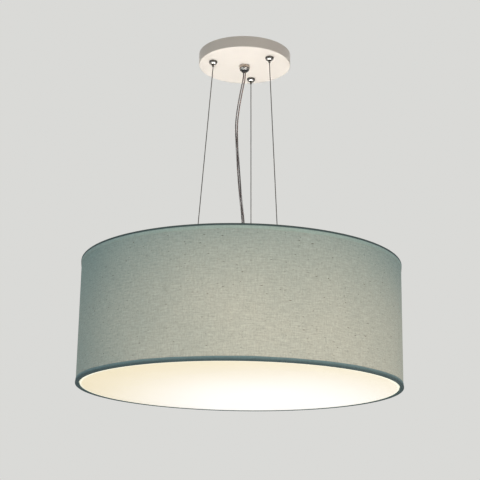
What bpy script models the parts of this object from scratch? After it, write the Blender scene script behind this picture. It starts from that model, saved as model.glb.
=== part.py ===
# Three-lamp drum pendant: a round ceiling canopy, three suspension wires in sprung
# grippers, a slack flex, and a fabric drum shade closed below by a diffuser.
# Metres, +Z up. The origin is the middle of the face that meets the ceiling.

import math

import bmesh
import bpy
from mathutils import Vector

# Clearances
GAP = 0.0003
CUT_OVERRUN = 0.001
MERGE_DISTANCE = 0.00001

# How many sides the round pieces have
SHADE_SIDES = 48
CANOPY_SIDES = 48
TURNED_SIDES = 18
LAMP_SIDES = 16
SMALL_SIDES = 12
HEX_SIDES = 6

# Directions about the lamp's axis
ARM_COUNT = 3
WIRE_AZIMUTH = math.radians(-42)
LAMP_AZIMUTH = math.radians(18)
THUMBSCREW_AZIMUTH = math.radians(48)
ARM_STEP = 2 * math.pi / ARM_COUNT

# Ceiling canopy
CANOPY_RADIUS = 0.075
CANOPY_HEIGHT = 0.0187
CANOPY_WALL = 0.001
CANOPY_EDGE = 0.0009

# Ceiling bracket and the two grub screws that hold the canopy to it
BRACKET_WIDTH = 0.026
BRACKET_THICKNESS = 0.0015
BRACKET_TAB_DROP = 0.012
SLOT_PLACE = 0.052
SLOT_LENGTH = 0.016
SLOT_RADIUS = 0.0023
GRUB_RADIUS = 0.0015
GRUB_LENGTH = 0.0085
GRUB_DROP = 0.008
GRUB_KEY_RADIUS = 0.0008
GRUB_KEY_DEPTH = 0.002

# Terminal block in the canopy
BLOCK_LENGTH = 0.020
BLOCK_WIDTH = 0.024
BLOCK_HEIGHT = 0.012
BLOCK_PLACE = 0.028
BLOCK_POLE_SPACING = 0.008
BLOCK_BORE_RADIUS = 0.0019
BLOCK_BORE_DROP = 0.0075
BLOCK_SCREW_RADIUS = 0.0022
BLOCK_SCREW_DEPTH = 0.003
BLOCK_SCREW_PLACE = 0.005

# Flex, its cores and its chrome gland
FLEX_RADIUS = 0.0025
CORE_RADIUS = 0.001
CORE_OFFSET = 0.00125
CORE_INSERT = 0.003
GLAND_RADIUS = 0.0087
GLAND_HEIGHT = 0.011
GLAND_SKIRT = 0.0042
GLAND_NECK_RADIUS = 0.005
GLAND_NECK_LENGTH = 0.0088
GLAND_NUT_WIDTH = 0.015
GLAND_NUT_HEIGHT = 0.0035

# Wire grippers
GRIPPER_CIRCLE = 0.054
CAP_RADIUS = 0.007
CAP_HEIGHT = 0.0062
CAP_RIM = 0.0012
CAP_FLOOR = 0.002
BARREL_RADIUS = 0.004
BARREL_TOP = 0.011
BARREL_BORE = 0.0029
BARREL_TOP_WALL = 0.0014
BARREL_TOP_HOLE = 0.0011
PLUNGER_RADIUS = 0.0018
PLUNGER_BORE = 0.0011
PLUNGER_HEAD_RADIUS = 0.0026
PLUNGER_HEAD_HEIGHT = 0.002
PLUNGER_REACH = 0.0035
PLUNGER_TIP = 0.0005
GRIPPER_NUT_WIDTH = 0.013
GRIPPER_NUT_HEIGHT = 0.004
SPRING_RADIUS = 0.0021
SPRING_WIRE_RADIUS = 0.00025
SPRING_TURNS = 5
SPRING_POINTS_PER_TURN = 6

# Suspension wires
DROP = 0.343
WIRE_RADIUS = 0.00075
WIRE_STRAIGHT = 0.0008
WIRE_BEND = 0.006
WIRE_TAIL = 0.002
ANCHOR_CIRCLE = 0.078
FERRULE_RADIUS = 0.0019
FERRULE_REACH = 0.005
FERRULE_HEAD_RADIUS = 0.0034
FERRULE_HEAD_HEIGHT = 0.002

# Drum shade
SHADE_RADIUS = 0.250
SHADE_HEIGHT = 0.192
TRIM_THICKNESS = 0.0005
TRIM_TOP_FACE = 0.0085
TRIM_BOTTOM_FACE = 0.0068
FABRIC_THICKNESS = 0.0005
LINER_THICKNESS = 0.0005
RING_WIRE_RADIUS = 0.0016
RING_WIRE_SIDES = 6
SPOKE_RADIUS = 0.0015
SPOKE_SIDES = 8
SPOKE_NOTCH_WIDTH = 0.005
SPIDER_PLATE_OUTER = 0.065
SPIDER_PLATE_INNER = 0.045
SPIDER_PLATE_THICKNESS = 0.0015
SPOKE_WELD = 0.004

# Diffuser: a flat panel with a stepped rim that rests on the shade's lower ring
DIFFUSER_CLEARANCE = 0.0005
DIFFUSER_THICKNESS = 0.0015
DIFFUSER_RECESS = 0.0006
DIFFUSER_RIM_REACH = 0.0036

# Carrier plate and the thumbscrews that clamp the shade to it
CARRIER_DROP = 0.023
CARRIER_RADIUS = 0.088
CARRIER_THICKNESS = 0.002
THUMBSCREW_CIRCLE = 0.055
THUMBSCREW_RADIUS = 0.002
THUMBSCREW_LENGTH = 0.009
THUMBSCREW_HEAD_RADIUS = 0.0065
THUMBSCREW_HEAD_HEIGHT = 0.005
THUMBSCREW_COLLAR = 0.0012
BUSHING_FLANGE_RADIUS = 0.008
BUSHING_FLANGE_HEIGHT = 0.0015
BUSHING_NOSE_RADIUS = 0.0038
BUSHING_NOSE_HEIGHT = 0.0045
BUSHING_SHANK_RADIUS = 0.0052

# Junction box under the carrier plate
BOX_RADIUS = 0.019
BOX_HEIGHT = 0.022
BOX_WALL = 0.002
BOX_EDGE = 0.0015
BOX_SCREW_HOLE = 0.0018
LEAD_EXIT = 0.008

# Lampholders, their brackets and leads
HOLDER_AXIS_DROP = 0.058
BRACKET_INNER = 0.021
LAMP_BRACKET_THICKNESS = 0.0015
LAMP_BRACKET_WIDTH = 0.024
LAMP_BRACKET_REACH = 0.029
LAMP_BRACKET_TAIL = 0.017
LAMP_BRACKET_HOLE = 0.005
HOLDER_LENGTH = 0.050
HOLDER_RADIUS = 0.0195
HOLDER_NECK_RADIUS = 0.014
HOLDER_NECK_LENGTH = 0.014
HOLDER_STEP = 0.003
HOLDER_LIP = 0.003
HOLDER_BORE = 0.0139
HOLDER_BORE_DEPTH = 0.028
LEAD_RADIUS = 0.0015
LEAD_INSERT = 0.002

# Bulbs, measured along their own axis
CONTACT_RADIUS = 0.0045
CONTACT_HEIGHT = 0.001
INSULATOR_HEIGHT = 0.003
THREAD_RADIUS = 0.0131
THREAD_DEPTH = 0.0007
THREAD_TURNS = 3
THREAD_LENGTH = 0.018
CAP_SKIRT = 0.004
CAP_WALL = 0.001
GLOBE_NECK_RADIUS = 0.0113
GLOBE_NECK_INSERT = 0.003
GLOBE_RADIUS = 0.030
GLOBE_LENGTH = 0.082
GLOBE_WALL = 0.0012

# The flex's route: points chosen along its slack, from the canopy down to the junction box
FLEX_ROUTE = [
    (0, 0, -0.0095), (0, 0, -0.0190), (0, 0, -0.0305), (-0.0003, 0.0002, -0.0400),
    (-0.0031, 0.0010, -0.0565), (-0.0062, 0.0022, -0.0742), (-0.0089, 0.0038, -0.0920),
    (-0.0114, 0.0060, -0.1180), (-0.0108, 0.0074, -0.1460), (-0.0086, 0.0080, -0.1780),
    (-0.0059, 0.0072, -0.2120), (-0.0030, 0.0056, -0.2440), (0.0004, 0.0036, -0.2740),
    (0.0026, 0.0020, -0.3020), (0.0030, 0.0009, -0.3280), (0.0016, 0.0002, -0.3520),
    (0.0003, 0, -0.3680), (0, 0, -0.3780), (0, 0, -0.3850), (0, 0, -0.3935),
]
FLEX_POINTS_PER_RUN = 2
LIVE_CORE_ROUTE = [
    (0, 0.00125, -0.0090), (0.0006, 0.0017, -0.0066), (0.0034, 0.0032, -0.0052),
    (0.0082, 0.0058, -0.0060), (0.0130, 0.0076, -0.0085), (0.0170, 0.0080, -0.0093),
    (0.0210, 0.0080, -0.0093),
]
NEUTRAL_CORE_ROUTE = [(x, -y, z) for x, y, z in LIVE_CORE_ROUTE]
CORE_POINTS_PER_RUN = 2

# Heights worked out from the sizes above
CANOPY_BOTTOM = -(GAP + CANOPY_HEIGHT)
CANOPY_FLOOR = CANOPY_BOTTOM + CANOPY_WALL
SHADE_TOP = CANOPY_BOTTOM - DROP
SHADE_BOTTOM = SHADE_TOP - SHADE_HEIGHT
CARRIER_TOP = SHADE_TOP - CARRIER_DROP
CARRIER_BOTTOM = CARRIER_TOP - CARRIER_THICKNESS
HOLDER_AXIS = CARRIER_BOTTOM - HOLDER_AXIS_DROP
SPIDER_PLATE_BOTTOM = CARRIER_TOP + GAP
SPIDER_PLATE_TOP = SPIDER_PLATE_BOTTOM + SPIDER_PLATE_THICKNESS

# Radii worked out from the shade's outside
FABRIC_OUTER = SHADE_RADIUS - TRIM_THICKNESS - GAP
FABRIC_INNER = FABRIC_OUTER - FABRIC_THICKNESS
LINER_OUTER = FABRIC_INNER - GAP
LINER_INNER = LINER_OUTER - LINER_THICKNESS
RING_CENTRE = LINER_INNER - GAP - RING_WIRE_RADIUS
TRIM_INNER_WRAP = RING_CENTRE - RING_WIRE_RADIUS - GAP
TRIM_INNER = TRIM_INNER_WRAP - TRIM_THICKNESS
RING_INSET = TRIM_THICKNESS + GAP + RING_WIRE_RADIUS
TRIM_LIP = RING_INSET + RING_WIRE_RADIUS + GAP

WHITE_SATIN = (0.86, 0.85, 0.82)
ZINC = (0.62, 0.63, 0.64)
NICKEL = (0.72, 0.70, 0.66)
STEEL = (0.45, 0.45, 0.45)
CLEAR_FLEX = (0.62, 0.60, 0.56)
TEAL_LINEN = (0.36, 0.47, 0.44)
TEAL_TRIM = (0.17, 0.25, 0.24)
OPAL = (0.95, 0.93, 0.86)
NYLON = (0.80, 0.79, 0.75)
BROWN_CORE = (0.25, 0.11, 0.05)
BLUE_CORE = (0.10, 0.22, 0.45)


def finish(obj, color, roughness, metallic=0.0):
    """Give a piece its own plain material."""
    material = bpy.data.materials.new(obj.name)
    material.use_nodes = True
    shader = material.node_tree.nodes["Principled BSDF"]
    shader.inputs["Base Color"].default_value = (*color, 1.0)
    shader.inputs["Roughness"].default_value = roughness
    shader.inputs["Metallic"].default_value = metallic
    obj.data.materials.append(material)


def add(name, mesh, parent=None):
    """Put a mesh or curve in the scene under a parent."""
    obj = bpy.data.objects.new(name, mesh)
    bpy.context.scene.collection.objects.link(obj)
    obj.parent = parent
    return obj


def empty(name, location=(0, 0, 0), rotation=(0, 0, 0), parent=None):
    """A plain axis that pieces hang from."""
    holder = add(name, None, parent)
    holder.location = location
    holder.rotation_euler = rotation
    return holder


def mesh_from(bm, name, smooth=True):
    """Close a bmesh into a mesh with its faces pointing out."""
    bmesh.ops.remove_doubles(bm, verts=bm.verts, dist=MERGE_DISTANCE)
    bmesh.ops.recalc_face_normals(bm, faces=bm.faces)
    mesh = bpy.data.meshes.new(name)
    bm.to_mesh(mesh)
    bm.free()
    if smooth:
        mesh.shade_smooth()
        mesh.set_sharp_from_angle(angle=math.radians(35))
    return mesh


def turned(name, outline, sides, parent=None):
    """A piece turned about its own Z axis from (radius, height) points.

    Points that start and end on the axis close there; any others close as a loop.
    """
    bm = bmesh.new()
    points = [bm.verts.new((radius, 0, height)) for radius, height in outline]
    edges = [bm.edges.new(pair) for pair in zip(points, points[1:])]
    if outline[0][0] > 0:
        edges.append(bm.edges.new((points[-1], points[0])))
    bmesh.ops.spin(
        bm, geom=points + edges, cent=(0, 0, 0), axis=(0, 0, 1), dvec=(0, 0, 0),
        angle=2 * math.pi, steps=sides, use_merge=True, use_duplicate=False,
    )
    return add(name, mesh_from(bm, name), parent)


def rod(name, radius, low, high, sides, parent=None):
    """A plain round bar along Z between two heights."""
    return turned(name, [(0, low), (radius, low), (radius, high), (0, high)], sides, parent)


def box(name, low, high, parent=None):
    """A block between two corners."""
    bm = bmesh.new()
    bmesh.ops.create_cube(bm, size=1.0)
    size = Vector(high) - Vector(low)
    bmesh.ops.scale(bm, vec=size, verts=bm.verts)
    bmesh.ops.translate(bm, vec=Vector(low) + size / 2, verts=bm.verts)
    return add(name, mesh_from(bm, name, smooth=False), parent)


def pressed(name, outline, width, parent=None):
    """Sheet bent to an (x, z) outline, as wide as given along Y."""
    bm = bmesh.new()
    face = bm.faces.new([bm.verts.new((x, -width / 2, z)) for x, z in outline])
    grown = bmesh.ops.extrude_face_region(bm, geom=[face])
    moved = [v for v in grown["geom"] if isinstance(v, bmesh.types.BMVert)]
    bmesh.ops.translate(bm, vec=(0, width, 0), verts=moved)
    return add(name, mesh_from(bm, name, smooth=False), parent)


def tube(name, points, radius, resolution, parent=None):
    """A round cord along points, with filled ends."""
    curve = bpy.data.curves.new(name, "CURVE")
    curve.dimensions = "3D"
    curve.bevel_depth = radius
    curve.bevel_resolution = resolution
    curve.use_fill_caps = True
    spline = curve.splines.new("POLY")
    spline.points.add(len(points) - 1)
    for target, point in zip(spline.points, points):
        target.co = (*point, 1)
    return add(name, curve, parent)


def smooth_route(points, per_run):
    """Points on the smooth curve that passes through a route's own points."""
    route = [Vector(p) for p in points]
    route = [2 * route[0] - route[1]] + route + [2 * route[-1] - route[-2]]
    smooth = []
    for a, b, c, d in zip(route, route[1:], route[2:], route[3:]):
        for step in range(per_run):
            t = step / per_run
            smooth.append(
                b + (c - a) * t / 2 + (2 * a - 5 * b + 4 * c - d) * t * t / 2
                + (3 * b - a - 3 * c + d) * t**3 / 2
            )
    smooth.append(route[-2])
    return smooth


def guide(obj):
    """Mark an object as a cutter or a helper that isn't a piece."""
    obj.hide_render = True
    obj.display_type = "WIRE"
    return obj


def combine(target, other, operation):
    """Cut or join another shape into a piece."""
    modifier = target.modifiers.new(other.name, "BOOLEAN")
    modifier.operation = operation
    modifier.object = guide(other)


def cut(target, other):
    """Cut another shape out of a piece."""
    combine(target, other, "DIFFERENCE")


def join(target, other):
    """Weld another shape to a piece."""
    combine(target, other, "UNION")


def arm_angles(first):
    """The azimuths of three like pieces."""
    return [first + ARM_STEP * index for index in range(ARM_COUNT)]


def around(radius, angle, height=0.0):
    """A point at a radius and an azimuth."""
    return (radius * math.cos(angle), radius * math.sin(angle), height)


def hex_nut(name, width, height, bore, parent):
    """A plain hexagon nut standing on its parent's origin."""
    corner = width / 2 / math.cos(math.pi / HEX_SIDES)
    nut = rod(name, corner, 0, height, HEX_SIDES, parent)
    hole = rod(name + "_hole", bore, -CUT_OVERRUN, height + CUT_OVERRUN, SMALL_SIDES, parent)
    cut(nut, hole)
    finish(nut, ZINC, 0.35, 1.0)
    return nut


def dome_points(inner, outer, top, bottom, steps):
    """Points down a rounded dome from its side (outer, top) to its flat end (inner, bottom)."""
    points = []
    for step in range(steps + 1):
        turn = math.pi / 2 * step / steps
        radius = inner + (outer - inner) * math.cos(turn)
        points.append((radius, top + (bottom - top) * math.sin(turn)))
    return points


# Ceiling pieces

def make_bracket(root):
    """The steel strap screwed to the ceiling, with two folded tabs for the grub screws."""
    inside = CANOPY_RADIUS - CANOPY_WALL
    half = math.sqrt(inside**2 - (BRACKET_WIDTH / 2) ** 2) - GAP
    under = -BRACKET_THICKNESS
    outline = [
        (-half, 0), (half, 0), (half, -BRACKET_TAB_DROP),
        (half - BRACKET_THICKNESS, -BRACKET_TAB_DROP), (half - BRACKET_THICKNESS, under),
        (-half + BRACKET_THICKNESS, under), (-half + BRACKET_THICKNESS, -BRACKET_TAB_DROP),
        (-half, -BRACKET_TAB_DROP),
    ]
    bracket = pressed("ceiling_bracket", outline, BRACKET_WIDTH, root)
    straight = SLOT_LENGTH / 2 - SLOT_RADIUS
    for side, label in ((-1, "left"), (1, "right")):
        slot = make_slot("slot_" + label, straight, root)
        slot.location = (side * SLOT_PLACE, 0, 0)
        cut(bracket, slot)
    reach = half + CUT_OVERRUN
    hole = rod("grub_holes", GRUB_RADIUS + GAP, -reach, reach, SMALL_SIDES, root)
    hole.location = (0, 0, -GRUB_DROP)
    hole.rotation_euler = (0, math.pi / 2, 0)
    cut(bracket, hole)
    finish(bracket, ZINC, 0.4, 1.0)


def make_slot(name, straight, parent):
    """A cutter for a slot with round ends along X."""
    bm = bmesh.new()
    corners = []
    for step in range(SMALL_SIDES + 1):
        turn = math.pi * step / SMALL_SIDES - math.pi / 2
        corners.append((straight + SLOT_RADIUS * math.cos(turn), SLOT_RADIUS * math.sin(turn)))
    corners += [(-x, -y) for x, y in corners]
    low = -BRACKET_THICKNESS - CUT_OVERRUN
    face = bm.faces.new([bm.verts.new((x, y, low)) for x, y in corners])
    grown = bmesh.ops.extrude_face_region(bm, geom=[face])
    moved = [v for v in grown["geom"] if isinstance(v, bmesh.types.BMVert)]
    bmesh.ops.translate(bm, vec=(0, 0, CUT_OVERRUN - low), verts=moved)
    return add(name, mesh_from(bm, name, smooth=False), parent)


def make_canopy(root):
    """The white cup against the ceiling, with holes for the gland, the grippers and two screws."""
    top = -GAP
    hole = GLAND_NECK_RADIUS + GAP
    inside = CANOPY_RADIUS - CANOPY_WALL
    outline = [
        (hole, CANOPY_FLOOR), (hole, CANOPY_BOTTOM), (CANOPY_RADIUS - CANOPY_EDGE, CANOPY_BOTTOM),
        (CANOPY_RADIUS, CANOPY_BOTTOM + CANOPY_EDGE), (CANOPY_RADIUS, top), (inside, top),
        (inside, CANOPY_FLOOR),
    ]
    canopy = turned("canopy", outline, CANOPY_SIDES, root)
    low = CANOPY_BOTTOM - CUT_OVERRUN
    high = CANOPY_FLOOR + CUT_OVERRUN
    for number, angle in enumerate(arm_angles(WIRE_AZIMUTH), 1):
        name = f"canopy_hole_{number}"
        cutter = rod(name, BARREL_RADIUS + GAP, low, high, SMALL_SIDES, root)
        cutter.location = around(GRIPPER_CIRCLE, angle)
        cut(canopy, cutter)
    reach = CANOPY_RADIUS + CUT_OVERRUN
    screws = rod("canopy_screw_holes", GRUB_RADIUS + GAP, -reach, reach, SMALL_SIDES, root)
    screws.location = (0, 0, -GRUB_DROP)
    screws.rotation_euler = (0, math.pi / 2, 0)
    cut(canopy, screws)
    finish(canopy, WHITE_SATIN, 0.4)


def make_grub_screws(root):
    """Two flush grub screws through the canopy's side into the bracket's tabs."""
    for side, label in ((0, "right"), (math.pi, "left")):
        name = "canopy_grub_screw_" + label
        outer = CANOPY_RADIUS - GAP
        inner = outer - GRUB_LENGTH
        floor = outer - GRUB_KEY_DEPTH
        tip = GRUB_RADIUS / 2
        outline = [
            (0, inner), (tip, inner), (GRUB_RADIUS, inner + tip), (GRUB_RADIUS, outer),
            (GRUB_KEY_RADIUS, outer), (GRUB_KEY_RADIUS, floor), (0, floor),
        ]
        screw = turned(name, outline, SMALL_SIDES, root)
        screw.location = (0, 0, -GRUB_DROP)
        screw.rotation_euler = (0, math.pi / 2, side)
        finish(screw, STEEL, 0.4, 1.0)


def make_terminal_block(root):
    """The three-pole screw block under the bracket."""
    top = -BRACKET_THICKNESS - GAP
    half_x = BLOCK_LENGTH / 2
    half_y = BLOCK_WIDTH / 2
    low = (BLOCK_PLACE - half_x, -half_y, top - BLOCK_HEIGHT)
    high = (BLOCK_PLACE + half_x, half_y, top)
    block = box("ceiling_terminal_block", low, high, root)
    reach = half_x + CUT_OVERRUN
    for pole in (-1, 0, 1):
        bore = rod(f"pole_bore_{pole + 2}", BLOCK_BORE_RADIUS, -reach, reach, SMALL_SIDES, root)
        bore.location = (BLOCK_PLACE, pole * BLOCK_POLE_SPACING, top - BLOCK_BORE_DROP)
        bore.rotation_euler = (0, math.pi / 2, 0)
        cut(block, bore)
        for side in (-1, 1):
            name = f"pole_screw_{pole + 2}_{side + 2}"
            under = -BLOCK_HEIGHT - CUT_OVERRUN
            well = BLOCK_SCREW_DEPTH - BLOCK_HEIGHT
            hole = rod(name, BLOCK_SCREW_RADIUS, under, well, HEX_SIDES, root)
            place = BLOCK_PLACE + side * BLOCK_SCREW_PLACE
            hole.location = (place, pole * BLOCK_POLE_SPACING, top)
            cut(block, hole)
    finish(block, NYLON, 0.5)


def make_gland(root):
    """The chrome gland that grips the flex, and the nut that holds it in the canopy."""
    bore = FLEX_RADIUS + GAP
    top = CANOPY_BOTTOM - GAP
    bottom = top - GLAND_HEIGHT
    neck = CANOPY_BOTTOM + GLAND_NECK_LENGTH
    outline = [(bore, neck), (GLAND_NECK_RADIUS, neck), (GLAND_NECK_RADIUS, top)]
    outline += [(GLAND_RADIUS, top)]
    outline += dome_points(FLEX_RADIUS + 2 * GAP, GLAND_RADIUS, top - GLAND_SKIRT, bottom, 4)
    outline += [(bore, bottom)]
    gland = turned("ceiling_cable_gland", outline, TURNED_SIDES, root)
    finish(gland, NICKEL, 0.12, 1.0)
    seat = empty("gland_nut_seat", (0, 0, CANOPY_FLOOR + GAP), parent=root)
    hex_nut(
        "ceiling_gland_nut", GLAND_NUT_WIDTH, GLAND_NUT_HEIGHT, GLAND_NECK_RADIUS + GAP, seat
    )


def make_gripper(number, angle, root):
    """One wire gripper: cap, barrel, nut, and the sprung plunger that frees the wire."""
    place = around(GRIPPER_CIRCLE, angle, CANOPY_BOTTOM)
    axis = empty(f"gripper_axis_{number}", place, (0, 0, angle), root)
    seat = -CAP_HEIGHT + CAP_FLOOR
    stop = seat + GAP

    outline = [(BARREL_RADIUS + GAP, seat), (BARREL_RADIUS + GAP, -GAP), (CAP_RADIUS - GAP, -GAP)]
    outline += dome_points(PLUNGER_RADIUS + 2 * GAP, CAP_RADIUS, -CAP_RIM, -CAP_HEIGHT, 3)
    outline += [(PLUNGER_RADIUS + GAP, -CAP_HEIGHT), (PLUNGER_RADIUS + GAP, seat)]
    cap = turned(f"gripper_cap_{number}", outline, LAMP_SIDES, axis)
    finish(cap, NICKEL, 0.12, 1.0)

    roof = BARREL_TOP - BARREL_TOP_WALL
    outline = [
        (BARREL_BORE, stop), (BARREL_RADIUS, stop), (BARREL_RADIUS, BARREL_TOP),
        (BARREL_TOP_HOLE, BARREL_TOP), (BARREL_TOP_HOLE, roof), (BARREL_BORE, roof),
    ]
    barrel = turned(f"gripper_barrel_{number}", outline, SMALL_SIDES, axis)
    finish(barrel, NICKEL, 0.3, 1.0)

    head_top = stop + PLUNGER_HEAD_HEIGHT
    tip = -CAP_HEIGHT - PLUNGER_REACH
    outline = [
        (PLUNGER_BORE, head_top), (PLUNGER_BORE, tip), (PLUNGER_RADIUS - PLUNGER_TIP, tip),
        (PLUNGER_RADIUS, tip + PLUNGER_TIP), (PLUNGER_RADIUS, stop), (PLUNGER_HEAD_RADIUS, stop),
        (PLUNGER_HEAD_RADIUS, head_top),
    ]
    plunger = turned(f"gripper_plunger_{number}", outline, SMALL_SIDES, axis)
    finish(plunger, NICKEL, 0.12, 1.0)

    low = head_top + GAP + SPRING_WIRE_RADIUS
    high = roof - GAP - SPRING_WIRE_RADIUS
    points = []
    for step in range(SPRING_TURNS * SPRING_POINTS_PER_TURN + 1):
        share = step / (SPRING_TURNS * SPRING_POINTS_PER_TURN)
        turn = 2 * math.pi * step / SPRING_POINTS_PER_TURN
        points.append(around(SPRING_RADIUS, turn, low + (high - low) * share))
    spring = tube(f"gripper_spring_{number}", points, SPRING_WIRE_RADIUS, 0, axis)
    finish(spring, STEEL, 0.4, 1.0)

    nut_seat = empty(f"gripper_nut_seat_{number}", (0, 0, CANOPY_WALL + GAP), parent=axis)
    hex_nut(
        f"gripper_nut_{number}", GRIPPER_NUT_WIDTH, GRIPPER_NUT_HEIGHT, BARREL_RADIUS + GAP,
        nut_seat,
    )


def make_cores(root):
    """The two cores from the flex to the terminal block."""
    for name, route, color in (
        ("ceiling_core_live", LIVE_CORE_ROUTE, BROWN_CORE),
        ("ceiling_core_neutral", NEUTRAL_CORE_ROUTE, BLUE_CORE),
    ):
        core = tube(name, smooth_route(route, CORE_POINTS_PER_RUN), CORE_RADIUS, 1, root)
        finish(core, color, 0.4)


# Hanging pieces

def make_wire(number, angle, pendant):
    """One suspension wire from its gripper down to its ferrule in the carrier plate."""
    axis = empty(f"wire_axis_{number}", (0, 0, 0), (0, 0, angle), pendant)
    start = CANOPY_BOTTOM + BARREL_TOP + WIRE_TAIL
    mouth = CANOPY_BOTTOM - CAP_HEIGHT - PLUNGER_REACH - WIRE_STRAIGHT
    landing = CARRIER_TOP + FERRULE_REACH + WIRE_STRAIGHT
    end = CARRIER_BOTTOM - FERRULE_HEAD_HEIGHT
    spread = ANCHOR_CIRCLE - GRIPPER_CIRCLE
    slope = spread / (mouth - landing)
    sway = slope * WIRE_BEND / 4
    points = [
        (GRIPPER_CIRCLE, 0, start), (GRIPPER_CIRCLE, 0, mouth),
        (GRIPPER_CIRCLE + sway, 0, mouth - WIRE_BEND / 2),
        (GRIPPER_CIRCLE + slope * WIRE_BEND, 0, mouth - WIRE_BEND),
        (ANCHOR_CIRCLE - slope * WIRE_BEND, 0, landing + WIRE_BEND),
        (ANCHOR_CIRCLE - sway, 0, landing + WIRE_BEND / 2),
        (ANCHOR_CIRCLE, 0, landing), (ANCHOR_CIRCLE, 0, end),
    ]
    wire = tube(f"suspension_wire_{number}", points, WIRE_RADIUS, 1, axis)
    finish(wire, STEEL, 0.35, 1.0)

    bore = WIRE_RADIUS + GAP
    under = CARRIER_BOTTOM - GAP
    top = CARRIER_TOP + FERRULE_REACH
    outline = [
        (bore, top), (bore, under - FERRULE_HEAD_HEIGHT),
        (FERRULE_HEAD_RADIUS, under - FERRULE_HEAD_HEIGHT), (FERRULE_HEAD_RADIUS, under),
        (FERRULE_RADIUS, under), (FERRULE_RADIUS, top),
    ]
    ferrule = turned(f"wire_ferrule_{number}", outline, SMALL_SIDES, axis)
    ferrule.location = (ANCHOR_CIRCLE, 0, 0)
    finish(ferrule, ZINC, 0.35, 1.0)


def make_flex(pendant):
    """The clear flex, slack between the gland and the bushing."""
    points = smooth_route(FLEX_ROUTE, FLEX_POINTS_PER_RUN)
    flex = tube("flex_cable", points, FLEX_RADIUS, 2, pendant)
    finish(flex, CLEAR_FLEX, 0.25)
    runs = zip(points, points[1:])
    print("flex length:", round(sum((b - a).length for a, b in runs), 4))


def make_carrier(pendant):
    """The round plate that the wires hold, with its cable bushing."""
    bore = BUSHING_SHANK_RADIUS + GAP
    outline = [
        (bore, CARRIER_TOP), (bore, CARRIER_BOTTOM), (CARRIER_RADIUS, CARRIER_BOTTOM),
        (CARRIER_RADIUS, CARRIER_TOP),
    ]
    plate = turned("carrier_plate", outline, CANOPY_SIDES, pendant)
    low = CARRIER_BOTTOM - CUT_OVERRUN
    high = CARRIER_TOP + CUT_OVERRUN
    for number, angle in enumerate(arm_angles(WIRE_AZIMUTH), 1):
        hole = rod(f"wire_hole_{number}", FERRULE_RADIUS + GAP, low, high, SMALL_SIDES, pendant)
        hole.location = around(ANCHOR_CIRCLE, angle)
        cut(plate, hole)
    for number, angle in enumerate(arm_angles(THUMBSCREW_AZIMUTH), 1):
        name = f"carrier_screw_hole_{number}"
        hole = rod(name, THUMBSCREW_RADIUS + GAP, low, high, SMALL_SIDES, pendant)
        hole.location = around(THUMBSCREW_CIRCLE, angle)
        cut(plate, hole)
    finish(plate, WHITE_SATIN, 0.45)

    inner = FLEX_RADIUS + GAP
    base = CARRIER_TOP + GAP
    shoulder = base + BUSHING_FLANGE_HEIGHT
    outline = [
        (inner, CARRIER_BOTTOM), (BUSHING_SHANK_RADIUS, CARRIER_BOTTOM),
        (BUSHING_SHANK_RADIUS, base), (BUSHING_FLANGE_RADIUS, base),
        (BUSHING_FLANGE_RADIUS, shoulder), (BUSHING_SHANK_RADIUS, shoulder),
        (BUSHING_NOSE_RADIUS, shoulder + BUSHING_NOSE_HEIGHT),
        (inner, shoulder + BUSHING_NOSE_HEIGHT),
    ]
    bushing = turned("cable_bushing", outline, LAMP_SIDES, pendant)
    finish(bushing, NYLON, 0.4)


def make_junction_box(pendant):
    """The round box under the plate where the flex meets the three leads."""
    top = CARRIER_BOTTOM - GAP
    bottom = top - BOX_HEIGHT
    inner = BOX_RADIUS - BOX_WALL
    entry = FLEX_RADIUS + GAP
    roof = top - BOX_WALL
    floor = bottom + BOX_WALL
    outline = [
        (entry, roof), (entry, top), (BOX_RADIUS, top), (BOX_RADIUS, bottom + BOX_EDGE),
        (BOX_RADIUS - BOX_EDGE, bottom), (BOX_SCREW_HOLE, bottom), (BOX_SCREW_HOLE, floor),
        (inner, floor), (inner, roof),
    ]
    junction = turned("junction_box", outline, TURNED_SIDES, pendant)
    low = bottom - CUT_OVERRUN
    high = floor + CUT_OVERRUN
    for number, angle in enumerate(arm_angles(LAMP_AZIMUTH), 1):
        hole = rod(f"lead_hole_{number}", LEAD_RADIUS + GAP, low, high, SMALL_SIDES, pendant)
        hole.location = around(LEAD_EXIT, angle)
        cut(junction, hole)
    finish(junction, NYLON, 0.45)


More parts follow.
